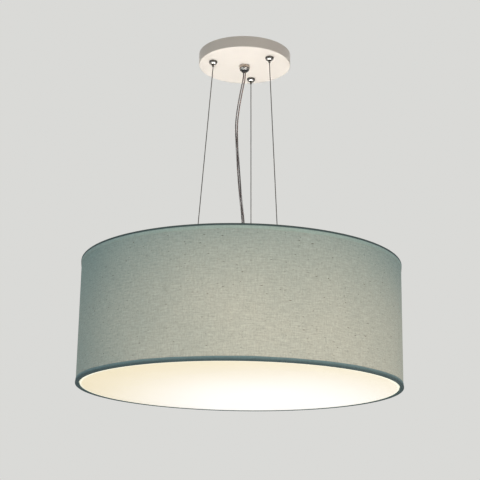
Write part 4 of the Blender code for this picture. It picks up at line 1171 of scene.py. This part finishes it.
def make_gripper(number, angle):
    """One wire gripper: cap, barrel, nut, spring and the plunger that frees the wire."""
    stand = upright(GRIPPER_CIRCLE, angle, CANOPY_BOTTOM)
    seat, base, mouth, radius, shoulder = -0.0042, -0.0055, 0.0034, 0.007, -0.0012
    outline = [(GRIPPER_HOLE, seat), (GRIPPER_HOLE, -GAP), (radius - 0.0003, -GAP)]
    outline += [(radius - 0.00005, -0.0005), (radius, shoulder)]
    outline += dome(mouth, radius, shoulder, base)
    outline += [(0.0024, base + 0.0007), (0.0021, base + 0.0010), (0.0021, seat)]
    cap = turned(outline, 56)
    # The cap's mouth takes the dark plunger nickel: painted shade round the plunger.
    tint(cap, 1, lambda out, height: out < mouth and height < seat)
    place(cap, stand)
    node = f"gripper_cap_{number}"
    finishes = (CAP_NICKEL, PLUNGER_NICKEL)
    finished(node + "_dome", cap, finishes, "nickel", "ceiling", node, crease=40)

    stop, top, roof = seat + GAP, 0.011, 0.0096
    outline = [(0.0029, stop)]
    outline += threads(0.004, 0.0037, stop + 0.0002, top - 0.0004, 14)
    outline += [(0.0034, top), (0.0011, top), (0.0011, roof), (0.0029, roof)]
    barrel = place(turned(outline, 28), stand)
    node = f"gripper_barrel_{number}"
    finished(node + "_tube", barrel, SATIN_NICKEL, "nickel_dull", "ceiling", node)

    head, tip, bore, sleeve, flange = stop + 0.002, -0.0097, 0.0011, 0.0018, 0.0026
    outline = [(bore, head), (bore, tip + 0.0003), (0.0013, tip), (0.0015, tip)]
    outline += [(sleeve, tip + 0.0004), (sleeve, tip + 0.0012), (sleeve - 0.00015, tip + 0.0014)]
    outline += [(sleeve - 0.00015, tip + 0.0018), (sleeve, tip + 0.0020), (sleeve, stop)]
    outline += [(flange, stop), (flange, head)]
    plunger = place(turned(outline, 36), stand)
    node = f"gripper_plunger_{number}"
    finished(node + "_sleeve", plunger, PLUNGER_NICKEL, "nickel", f"plunger_{number}", node)

    radius, wire, turns, per_turn = 0.0021, 0.00025, 5, 20
    low, high = head + GAP + wire, roof - GAP - wire
    coil = []
    for step in range(turns * per_turn + 1):
        share = step / (turns * per_turn)
        coil.append(around(radius, 2 * math.pi * step / per_turn, low + (high - low) * share))
    spring = place(cable(coil, wire, 8), stand)
    node = f"gripper_spring_{number}"
    piece = finished(node + "_coil", spring, SPRING_STEEL, "spring_steel", None, node)
    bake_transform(piece)
    node = f"gripper_nut_{number}"
    seat_frame = upright(GRIPPER_CIRCLE, angle, CANOPY_BOTTOM + CANOPY_WALL + GAP)
    hex_nut(node + "_hex", node, 0.013, 0.004, GRIPPER_HOLE, seat_frame)


def make_ceiling_cores():
    """The stripped ends of the flex, run to the terminal block."""
    for label, route, finish, slot in (
        ("live", LIVE_CORE_ROUTE, BROWN, "core_brown"),
        ("neutral", NEUTRAL_CORE_ROUTE, BLUE, "core_blue"),
    ):
        node = "ceiling_core_" + label
        core = cable(smooth_route(route, ROUTE_STEPS), CORE_RADIUS, 14)
        finished(node + "_wire", core, finish, slot, "ceiling", node)


# Hanging hardware

def make_ferrules():
    """The crimped ends that hold the wires under the carrier plate."""
    bore, barrel, groove, flange = 0.00105, 0.0019, 0.00165, 0.0034
    under, top = CARRIER_BOTTOM - GAP, CARRIER_TOP + 0.005
    outline = [(bore, top), (bore, under - 0.002), (flange - 0.0004, under - 0.002)]
    outline += [(flange, under - 0.0016), (flange, under), (barrel, under)]
    outline += [(barrel, CARRIER_TOP + 0.0008)]
    for crimp in range(3):
        start = CARRIER_TOP + 0.0010 + 0.0011 * crimp
        outline += [(groove, start + 0.0002), (groove, start + 0.0005), (barrel, start + 0.0007)]
    outline += [(barrel, top - 0.0003), (barrel - 0.0003, top)]
    for number, angle in enumerate(arm_angles(WIRE_AZIMUTH), 1):
        node = f"wire_ferrule_{number}"
        ferrule = place(turned(outline, 28), upright(ANCHOR_CIRCLE, angle, 0))
        finished(node + "_crimp", ferrule, ZINC, "zinc_steel", "pendant", node)


def make_carrier():
    """The white plate that the wires hold, and its ribbed cable bushing."""
    loops = [circle(CARRIER_RADIUS, 128), circle(CABLE_HOLE, 32)]
    loops += holes(WIRE_HOLE, 20, ANCHOR_CIRCLE, WIRE_AZIMUTH)
    loops += holes(THUMBSCREW_HOLE, 20, THUMBSCREW_CIRCLE, THUMBSCREW_AZIMUTH)
    bm = plate(loops, CARRIER_BOTTOM, CARRIER_TOP)
    soften(bm, 0.0003, 2, 60)
    finished("carrier_disc", bm, WHITE_FRAME, "frame_white", "pendant", "carrier_plate")

    bore, neck, tip, flange, edge, ribs, tall = 0.0028, 0.0052, 0.0038, 0.008, 0.0003, 4, 0.0045
    base = CARRIER_TOP + GAP
    shoulder = base + 0.0015
    outline = [(bore, CARRIER_BOTTOM), (neck - edge, CARRIER_BOTTOM), (neck, CARRIER_BOTTOM + edge)]
    outline += [(neck, base), (flange - edge, base), (flange, base + edge)]
    outline += [(flange, shoulder - edge), (flange - edge, shoulder)]
    for rib in range(ribs):
        radius = neck + (tip - neck) * rib / ribs
        height = shoulder + tall * rib / ribs
        outline += [(radius, height), (radius, height + 0.0006), (radius - 0.0005, height + 0.0007)]
        outline += [(radius - 0.0005, height + 0.0011)]
    outline += [(0.0036, shoulder + tall), (bore, shoulder + tall)]
    bushing = turned(outline, 40)
    finished("cable_bushing_sleeve", bushing, NYLON, "nylon", "pendant", "cable_bushing")


def make_junction_box():
    """The round moulded box under the carrier plate."""
    wall, entry, screw, lead = 0.002, 0.0028, 0.0018, 0.0018
    edge, groove, round_off = 0.0004, 0.0005, 0.0018
    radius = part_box("junction_box")[1].x
    roof, floor, inner = BOX_HIGH - wall, BOX_LOW + wall, radius - wall
    lid, recess, recess_floor = BOX_LOW + 0.006, 0.0042, BOX_LOW + 0.0008
    outline = [(entry, roof), (entry, BOX_HIGH), (radius - edge, BOX_HIGH)]
    outline += [(radius, BOX_HIGH - edge)]
    outline += [(radius, lid + 0.0003), (radius - groove, lid + 0.0003), (radius - groove, lid)]
    outline += [(radius, lid)]
    outline += arc((radius - round_off, BOX_LOW + round_off), round_off, 0, -90, BEND_STEPS)
    outline += [(recess, BOX_LOW), (recess, recess_floor), (screw, recess_floor)]
    outline += [(screw, floor), (inner, floor), (inner, roof)]
    bores = [place(rod(lead, BOX_LOW - 0.001, floor + 0.001), upright(LEAD_CIRCLE, angle, 0))
             for angle in arm_angles(LAMP_AZIMUTH)]
    case = drilled(turned(outline, 64), *bores)
    finished("junction_box_case", case, NYLON, "nylon", "pendant", "junction_box")
    shank = 0.0015
    outline = [(0, BOX_LOW + 0.0004), (0.0026, BOX_LOW + 0.0004), (0.0032, BOX_LOW + 0.0007)]
    outline += [(0.0034, BOX_LOW + 0.00075), (shank, BOX_LOW + 0.0024), (shank, floor), (0, floor)]
    cross = [block((-x, -y, BOX_LOW), (x, y, BOX_LOW + 0.0014))
             for x, y in ((0.002, 0.00035), (0.00035, 0.002))]
    head = drilled(turned(outline, 28), *cross)
    finished("junction_box_screw", head, ZINC, "zinc_steel", "pendant")


def thread_wave(angle, height, pitch):
    """A rounded screw thread's height share, 0 in its valley and 1 on its crest."""
    return 0.5 - 0.5 * math.cos(2 * math.pi * (height / pitch - angle / (2 * math.pi)))


def make_lamp(number, angle):
    """One lamp: its bracket, holder, lead and bulb."""
    top, floor = BOX_HIGH - HOLDER_AXIS, BOX_LOW - HOLDER_AXIS
    inner, reach, tail, wall, bend, width = 0.021, 0.050, -0.017, 0.0015, 0.0025, 0.024
    path = [(reach, top), *arc((inner + bend, top - bend), bend, 90, 180, BEND_STEPS)]
    path.append((inner, tail))
    strip = pressed(path, width, wall)
    ends = [e for e in strip.edges if all(v.co.x > reach - WELD for v in e.verts)
            or all(v.co.z < tail + WELD for v in e.verts)]
    corners = [e for e in ends if e.calc_length() < wall * 1.2
               and all(abs(v.co.y) > width / 2 - GAP for v in e.verts)]
    bmesh.ops.bevel(strip, geom=corners, offset=0.004, offset_type="OFFSET", affect="EDGES",
                    segments=5, profile=0.5, material=-1)
    bore = rod(0.005, inner - 0.002, inner + wall + 0.002, 32)
    place(bore, Matrix.Rotation(math.pi / 2, 4, "Y"))
    spots = [place(rod(0.0014, top - 0.003, top + 0.001, 20), Matrix.Translation((0.040, y, 0)))
             for y in (-0.006, 0.006)]
    strip = soften(drilled(strip, bore, *spots), 0.00015, 1, 50)
    stand = upright(0, angle, HOLDER_AXIS)
    node = f"lampholder_bracket_{number}"
    finished(node + "_strip", place(strip, stand), ZINC, "zinc_steel", "pendant", node)

    make_holder(number, outward(HOLDER_REAR, angle, HOLDER_AXIS))
    route = [(LEAD_CIRCLE, 0, floor + rise) for rise in (0.0035, 0, -0.003)]
    route += [(0.0095, 0, floor / 2), (0.0125, 0, floor / 6)]
    route += [(0.018, 0, 0), (0.021, 0, 0), (0.0248, 0, 0)]
    lead = place(cable(smooth_route(route, ROUTE_STEPS), LEAD_RADIUS, 14), stand)
    node = f"lampholder_lead_{number}"
    finished(node + "_cord", lead, LEAD_WHITE, "lead_white", "pendant", node)
    make_bulb(number, outward(BULB_CONTACT, angle, HOLDER_AXIS))


def make_holder(number, stand):
    """A ribbed thermoplastic lampholder with a threaded mouth."""
    length, radius, neck, bore, entry, socket = 0.050, 0.0195, 0.014, 0.0139, 0.0018, 0.022
    rib_low, rib_high, rib_count, rib_depth, thread_depth = 0.0216, 0.0408, 32, 0.0006, 0.0005
    outline = [(entry, 0), (neck - 0.0006, 0), (neck, 0.0006), (neck, 0.0118)]
    outline += arc((neck + 0.002, 0.0118), 0.002, 180, 110, 4)[1:]
    outline += [(radius - 0.001, 0.0158), (radius, 0.0170), (radius, 0.0185)]
    outline += [(radius - 0.0007, 0.0190), (radius - 0.0007, 0.0196), (radius, 0.0202)]
    outline += [(radius, 0.0202 + 0.0015 * step) for step in range(1, 15)]
    outline += [(radius - 0.0009, 0.0418), (radius - 0.0009, 0.0428), (radius, 0.0434)]
    outline += [(radius, 0.0472)] + arc((radius - 0.0016, 0.0484), 0.0016, 0, 90, 4)[1:]
    outline += [(radius - 0.0035, length), (radius - 0.0035, 0.0492), (bore + 0.0006, 0.0492)]
    pitch, low, high = 0.0036, 0.030, 0.0485
    steps = 28
    outline += [(bore, high - (high - low) * step / steps) for step in range(steps + 1)]
    outline += [(bore, socket), (0.0075, socket), (0.0075, socket - 0.0012)]
    outline += [(entry, socket - 0.0012)]

    def ribs_and_thread(out, angle, height):
        if out > radius - WELD and rib_low < height < rib_high:
            return -rib_depth * (1 - max(0.0, math.cos(rib_count * angle)))
        if abs(out - bore) < WELD and low < height < high:
            return thread_depth * thread_wave(angle, height, pitch)
        return 0.0

    body = place(pushed(turned(outline, 96), ribs_and_thread), stand)
    node = f"lampholder_{number}"
    finished(node + "_body", body, WHITE_MOULDED, "holder_white", "pendant", node)


def make_bulb(number, stand):
    """A screw cap with a rolled thread, and its lit opal globe."""
    crest, root, seat, length, skirt, turns, steps = 0.0131, 0.0124, 0.004, 0.018, 0.004, 5, 50
    contact, contact_radius, glass_radius, run_out = 0.0013, 0.0046, 0.0116, 0.002
    top, end = seat + length, seat + length + skirt
    body = f"bulb_{number}"
    outline = [(0, 0.0001), (0.0038, 0), (0.0045, 0.0006), (contact_radius, 0.0012)]
    outline += [(0.0085, 0.0022), (0.0112, 0.0030), (root - 0.0003, seat - 0.0002)]
    outline += [(root, seat + length * step / steps) for step in range(steps + 1)]
    outline += [(root, end - 0.0022), (root + 0.0004, end - 0.0010), (root + 0.0004, end)]
    outline += [(glass_radius, end), (glass_radius, top), (0.0114, seat + 0.001), (0, seat + 0.001)]

    def rolled_thread(out, angle, height):
        if abs(out - root) > WELD or not seat < height < top:
            return 0.0
        share = min(1.0, (height - seat) / run_out, (top - height) / run_out)
        return (crest - root) * share * thread_wave(angle, height, length / turns)

    cap = pushed(turned(outline, 60), rolled_thread)
    tint(cap, 2, lambda out, height: height < contact)
    tint(cap, 1, lambda out, height: height < seat - 0.0004 and out > contact_radius)
    place(cap, stand)
    finished(f"bulb_cap_{number}_shell", cap, (SATIN_NICKEL, DARK_GLASS, BRASS), "cap_metal", body,
             f"bulb_cap_{number}")

    base, neck, radius, tall, wall = end - 0.003, 0.0113, 0.030, 0.082, 0.0012
    radius_shares = (0.43, 0.58, 0.80, 0.95, 1.0, 0.955, 0.82, 0.56, 0.25)
    height_shares = (0.10, 0.25, 0.42, 0.56, 0.68, 0.81, 0.905, 0.97, 0.995)
    points = [(neck, 0), (neck, 0.0033)]
    points += [(radius * r, tall * h) for r, h in zip(radius_shares, height_shares)]
    points.append((0, tall))
    outside = smooth_profile(points, 4)
    inside = [(max(r - wall, 0), h - wall * h / tall) for r, h in outside[::2]]
    outline = [(0, tall - wall)] + [p for p in reversed(inside) if p[0] > 0.0004] + outside
    globe = place(turned(outline, 56), stand @ Matrix.Translation((0, 0, base)))
    finished(f"bulb_globe_{number}_glass", globe, GLOBE, "globe_opal", body,
             f"bulb_globe_{number}", crease=60)


def make_thumbscrews():
    """Three knurled thumbscrews that clamp the shade to the carrier plate."""
    crest, root, collar, radius, knurls, knurl_depth = 0.002, 0.0017, 0.0053, 0.0065, 36, 0.0004
    low, high = (corner.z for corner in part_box("shade_thumbscrew_1"))
    base, step = high - 0.005, 0.0012
    outline = [(0, low), (0.0014, low), *threads(crest, root, low + 0.0004, base - 0.0002, 11)]
    outline += [(root, base), (collar, base), (collar, base + step), (0.0062, base + step)]
    outline += [(radius, base + 0.0015), (radius, high - 0.0004), (0.0061, high), (0.0040, high)]
    outline += [(0.0036, high - 0.0005), (0, high - 0.0005)]

    def knurled(out, angle, height):
        return -knurl_depth * (0.5 - 0.5 * math.cos(knurls * angle)) if out > radius - WELD else 0.0

    for number, angle in enumerate(arm_angles(THUMBSCREW_AZIMUTH), 1):
        node = f"shade_thumbscrew_{number}"
        screw = place(pushed(turned(outline, 72), knurled), upright(THUMBSCREW_CIRCLE, angle, 0))
        finished(node + "_knob", screw, SATIN_NICKEL, "nickel_dull", "pendant", node, crease=22)


# The shade

def ring(height):
    """A round wire ring inside one edge of the shade."""
    return turned(circle(RING_WIRE, 12, (RING_CENTRE, height)), SHADE_SIDES)


def make_spider():
    """The upper ring, its three spokes and the clamping plate, welded into one frame."""
    low = CARRIER_TOP + GAP
    high = low + 0.0015
    rim, inner, spoke_start, bead_size = 0.065, 0.045, 0.061, 0.0022
    ring_height = SHADE_TOP - RING_INSET
    loops = [circle(rim, 96), circle(inner, 80)]
    loops += holes(THUMBSCREW_HOLE, 20, THUMBSCREW_CIRCLE, THUMBSCREW_AZIMUTH)
    hub = soften(plate(loops, low, high), 0.0003, 2, 60)
    parts = [ring(ring_height)]
    for angle in arm_angles(LAMP_AZIMUTH):
        start = around(spoke_start, angle, high + SPOKE_RADIUS / 2)
        end = around(RING_CENTRE, angle, ring_height)
        parts.append(cable([start, start.lerp(end, 0.5), end], SPOKE_RADIUS, 16))
        for radius, height in ((rim - 0.0015, high + 0.0005), (RING_CENTRE - 0.0014, ring_height)):
            bead = bmesh.new()
            bmesh.ops.create_icosphere(bead, subdivisions=2, radius=bead_size)
            bmesh.ops.scale(bead, vec=(1.0, 1.0, 0.6), verts=bead.verts)
            parts.append(place(bead, upright(radius, angle, height)))
    whole = combined(hub, "UNION", *parts)
    finished("shade_spider_frame", whole, WHITE_FRAME, "frame_white", "pendant", "shade_spider")
    lower = ring(SHADE_BOTTOM + RING_INSET)
    finished("shade_bottom_hoop", lower, WHITE_FRAME, "frame_white", "pendant", "shade_bottom_ring")


def rolled_sheet(radius, low, high, overlap, columns, rows):
    """A flat cloth rolled into a drum from the back, its last strip lapped over its first."""
    width = 2 * math.pi * radius + overlap
    tall = high - low
    bm = bmesh.new()
    bmesh.ops.create_grid(bm, x_segments=columns, y_segments=rows, size=0.5)
    uv = bm.loops.layers.uv.new("cloth")
    for face in bm.faces:
        for loop in face.loops:
            loop[uv].uv = ((loop.vert.co.x + 0.5) * width, (loop.vert.co.y + 0.5) * tall)
    for vert in bm.verts:
        run = (vert.co.x + 0.5) * width
        turn = math.pi / 2 + run / radius
        under = min(1.0, max(0.0, 1 - (run - overlap) / (LAP_STEP * overlap)))
        wave = math.sin(5 * turn + 0.7) + 0.7 * math.sin(13 * turn + 2.1) - 1.7
        out = radius - under * CLOTH + CLOTH_WAVE * wave
        vert.co = around(out, turn, low + tall * (vert.co.y + 0.5))
    return bm, (width, tall)


def make_drum(name, radius, columns, rows, thickness, *look):
    """A cloth rolled into the shade's drum, with its thickness and its flat size."""
    sheet, flat = rolled_sheet(radius, FABRIC_BOTTOM, FABRIC_TOP, FABRIC_SEAM, columns, rows)
    piece = finished(name, sheet, *look)
    solid = piece.modifiers.new("thickness", "SOLIDIFY")
    solid.thickness = thickness
    solid.offset = 0.0
    return piece, flat


def make_cloth():
    """The lining, and the linen stretched round it with a lapped seam at the back."""
    film, _ = make_drum(
        "shade_lining", LINER_OUTER - CLOTH / 2, 200, 8, LINER_FILM,
        LINING, "liner_white", "pendant", "shade_liner",
    )
    fabric, flat = make_drum(
        "shade_linen", FABRIC_OUTER - LINEN_THICKNESS / 2, 320, 24, LINEN_THICKNESS,
        LINEN, "linen_teal", "pendant", "shade_fabric",
    )
    make_trims()


def make_trim(name, edge, inward, face, notches):
    """A tape folded over one edge of the shade and the ring inside it."""
    outer, half, bend = SHADE_RADIUS, CLOTH / 2, 0.0009
    middle, inner = outer - half, TRIM_INNER + half
    fold, free_edge = edge + inward * (half + bend), edge + inward * (half + face)
    outline = [(middle, edge + inward * (half + face * share)) for share in (1, 0.75, 0.5, 0.3)]
    outline += arc((middle - bend, fold), bend, 0, -inward * 90, BEND_STEPS)
    outline += arc((inner + bend, fold), bend, -inward * 90, -inward * 180, BEND_STEPS)
    outline += [(inner, edge + inward * (half + TRIM_LIP * 0.6)), (inner, edge + inward * TRIM_LIP)]
    bm = turned(outline, SHADE_SIDES, closed=False)
    for vert in bm.verts:
        if abs(vert.co.z - free_edge) < WELD:
            turn = math.atan2(vert.co.y, vert.co.x)
            drift = math.sin(11 * turn + edge) + 0.625 * math.sin(29 * turn + 1.3)
            vert.co.z += TAPE_DRIFT * drift
    rolled_uv(bm, outer)
    bmesh.ops.recalc_face_normals(bm, faces=bm.faces)
    bmesh.ops.solidify(bm, geom=bm.faces[:], thickness=CLOTH)
    pushed(bm, lambda out, turn, height: half)

    def feathered(out, turn, height):
        near = 1 - abs(height - free_edge) / (face * TAPE_FEATHER_SHARE)
        return -near * (outer - FABRIC_OUTER - GAP / 2) if near > 0 and out > outer - half else 0.0

    pushed(bm, feathered)
    if notches:
        low = (TRIM_INNER - 0.002, -0.0025, edge - TRIM_LIP - 0.001)
        high = (TRIM_INNER + 0.0022, 0.0025, edge - 0.0008)
        angles = arm_angles(LAMP_AZIMUTH)
        bm = drilled(bm, *(place(block(low, high), upright(0, angle, 0)) for angle in angles))
    return finished(name + "_tape", bm, TAPE, "trim_teal", "pendant", name)


def make_trims():
    """The upper tape, notched for the spokes, and the lower one."""
    return [
        make_trim("shade_trim_top", SHADE_TOP, -1, TRIM_TOP_FACE - CLOTH, True),
        make_trim("shade_trim_bottom", SHADE_BOTTOM, 1, TRIM_BOTTOM_FACE - CLOTH, False),
    ]


def make_diffuser():
    """The opal panel; its stepped rim rests on the lower fold."""
    low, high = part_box("diffuser")
    wall, thick, bend, edge, fillet = 0.2431, 0.0015, 0.0011, 0.0004, 0.0006
    reach, rim_low, inner, floor = high.x, high.z - thick, wall - thick, low.z + thick
    outline = [(wall * share, low.z) for share in (0, 0.2, 0.4, 0.6, 0.8, 0.93)]
    outline += arc((wall - bend, low.z + bend), bend, -90, 0, BEND_STEPS)
    outline += [(wall, rim_low), (reach - edge, rim_low), (reach, rim_low + edge)]
    outline += [(reach, high.z - edge), (reach - edge, high.z), (inner + edge, high.z)]
    outline += [(inner, high.z - edge), (inner, floor + fillet)]
    outline += [(inner - fillet, floor), (0, floor)]
    panel = turned(outline, SHADE_SIDES)
    finished("diffuser_panel", panel, OPAL, "opal", "diffuser", "diffuser", crease=40)


# The studio

FLOOR_HEIGHT = -2.4
FLOOR_REACH = 30
FLOOR_PALENESS = 0.38
FLOOR_COLOR = (0.78, 0.77, 0.75, 1)
FLOOR_SEEN = (1.0, 1.0, 0.97, 1)

# The pale world: what lights the lamp, what the camera sees, and what polished metal mirrors
WORLD_LIGHT = (0.94, 0.98, 1.0, 1)
WORLD_STRENGTH = 0.42
WORLD_SEEN = (0.70, 0.70, 0.68, 1)
WORLD_MIRRORED = (0.86, 0.84, 0.81, 1)

# The dark band in what metal mirrors, by how far up a ray looks
BAND_TONE = 0.05
BAND_MIDDLE = -0.16
BAND_DARK = 0.12
BAND_PALE = 0.30

# Where the soft lights aim, and each light: its place, aim, size, power and colour
SHADE_MIDDLE = (0, 0, -0.42)
LIGHTS = {
    "key": ((1.6, -2.6, -0.6), SHADE_MIDDLE, 1.6, 18.0, (1.0, 0.98, 0.95)),
    "fill": ((-2.4, -1.6, -0.7), SHADE_MIDDLE, 1.8, 10.0, (0.82, 0.965, 1.0)),
    "back": ((0.8, 2.6, -0.4), SHADE_MIDDLE, 1.8, 14.0, (1.0, 0.98, 0.95)),
    "under": ((0.2, -1.0, -2.1), (0, 0, -0.30), 2.0, 12.0, (1.0, 0.98, 0.94)),
    "over": ((0.3, 1.5, 2.2), (0, 0, -0.4), 2.0, 36.0, (1.0, 0.99, 0.97)),
    "lamp_glow": ((0, 0, -0.395), (0, 0, 0), 0.36, 3.65, (0.91, 0.955, 1.0)),
}


def make_studio():
    """A pale floor well below the lamp, a pale world, and soft lights."""
    floor = bmesh.new()
    bmesh.ops.create_grid(floor, x_segments=2, y_segments=2, size=FLOOR_REACH)
    bmesh.ops.translate(floor, vec=(0, 0, FLOOR_HEIGHT), verts=floor.verts)
    ground = added("studio_floor", mesh_of("studio_floor", floor))
    material, g, shader = new_finish("studio_floor", Roughness=0.9, Specular_IOR_Level=0.1)
    shader["Base Color"].default_value = FLOOR_COLOR
    shader["Emission Color"].default_value = FLOOR_SEEN
    ray = g.add("ShaderNodeLightPath").outputs
    g.feed(shader["Emission Strength"], g.times(ray["Is Camera Ray"], FLOOR_PALENESS))
    ground.data.materials.append(material)

    world = bpy.data.worlds.new("studio")
    bpy.context.scene.world = world
    world.use_nodes = True
    g = Graph(world.node_tree)
    path = g.add("ShaderNodeLightPath").outputs
    seen = g.math("MAXIMUM", path["Is Camera Ray"], path["Is Glossy Ray"])
    seen = g.math("MAXIMUM", seen, path["Is Transmission Ray"])
    back = world.node_tree.nodes["Background"]
    _, _, up = g.split(g.add("ShaderNodeTexCoord").outputs["Generated"])
    away = g.math("ABSOLUTE", g.minus(up, BAND_MIDDLE))
    card = g.ramp(away, BAND_DARK, BAND_PALE, BAND_TONE, 1.0)
    mirrored = g.blend(card, (0.0, 0.0, 0.0, 1), WORLD_MIRRORED)
    shown = g.blend(path["Is Glossy Ray"], WORLD_SEEN, mirrored)
    g.feed(back.inputs["Color"], g.blend(seen, WORLD_LIGHT, shown))
    g.feed(back.inputs["Strength"], g.ramp(seen, 0.0, 1.0, WORLD_STRENGTH, 1.0, smooth=False))

    for name, (light_place, target, size, power, color) in LIGHTS.items():
        data = bpy.data.lights.new(name, "AREA")
        data.shape = "DISK"
        data.size = size
        data.energy = power
        data.color = color
        lamp = added(name, data)
        lamp.location = light_place
        lamp.rotation_mode = "QUATERNION"
        lamp.rotation_quaternion = (Vector(target) - lamp.location).to_track_quat("-Z", "Y")
        lamp.visible_camera = False
        lamp.visible_transmission = False
        lamp.visible_glossy = name != "back"
        if name == "lamp_glow":
            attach(lamp, "pendant")
    bpy.context.scene.view_settings.view_transform = "Standard"


make_camera()
make_wires()
make_flex()
make_canopy()
make_bracket()
make_grub_screws()
make_terminal_block()
make_gland()
make_ceiling_cores()
for gripper_number, gripper_angle in enumerate(arm_angles(WIRE_AZIMUTH), 1):
    make_gripper(gripper_number, gripper_angle)
make_ferrules()
make_carrier()
make_junction_box()
for lamp_number, lamp_angle in enumerate(arm_angles(LAMP_AZIMUTH), 1):
    make_lamp(lamp_number, lamp_angle)
make_thumbscrews()
make_spider()
make_cloth()
make_diffuser()
make_studio()
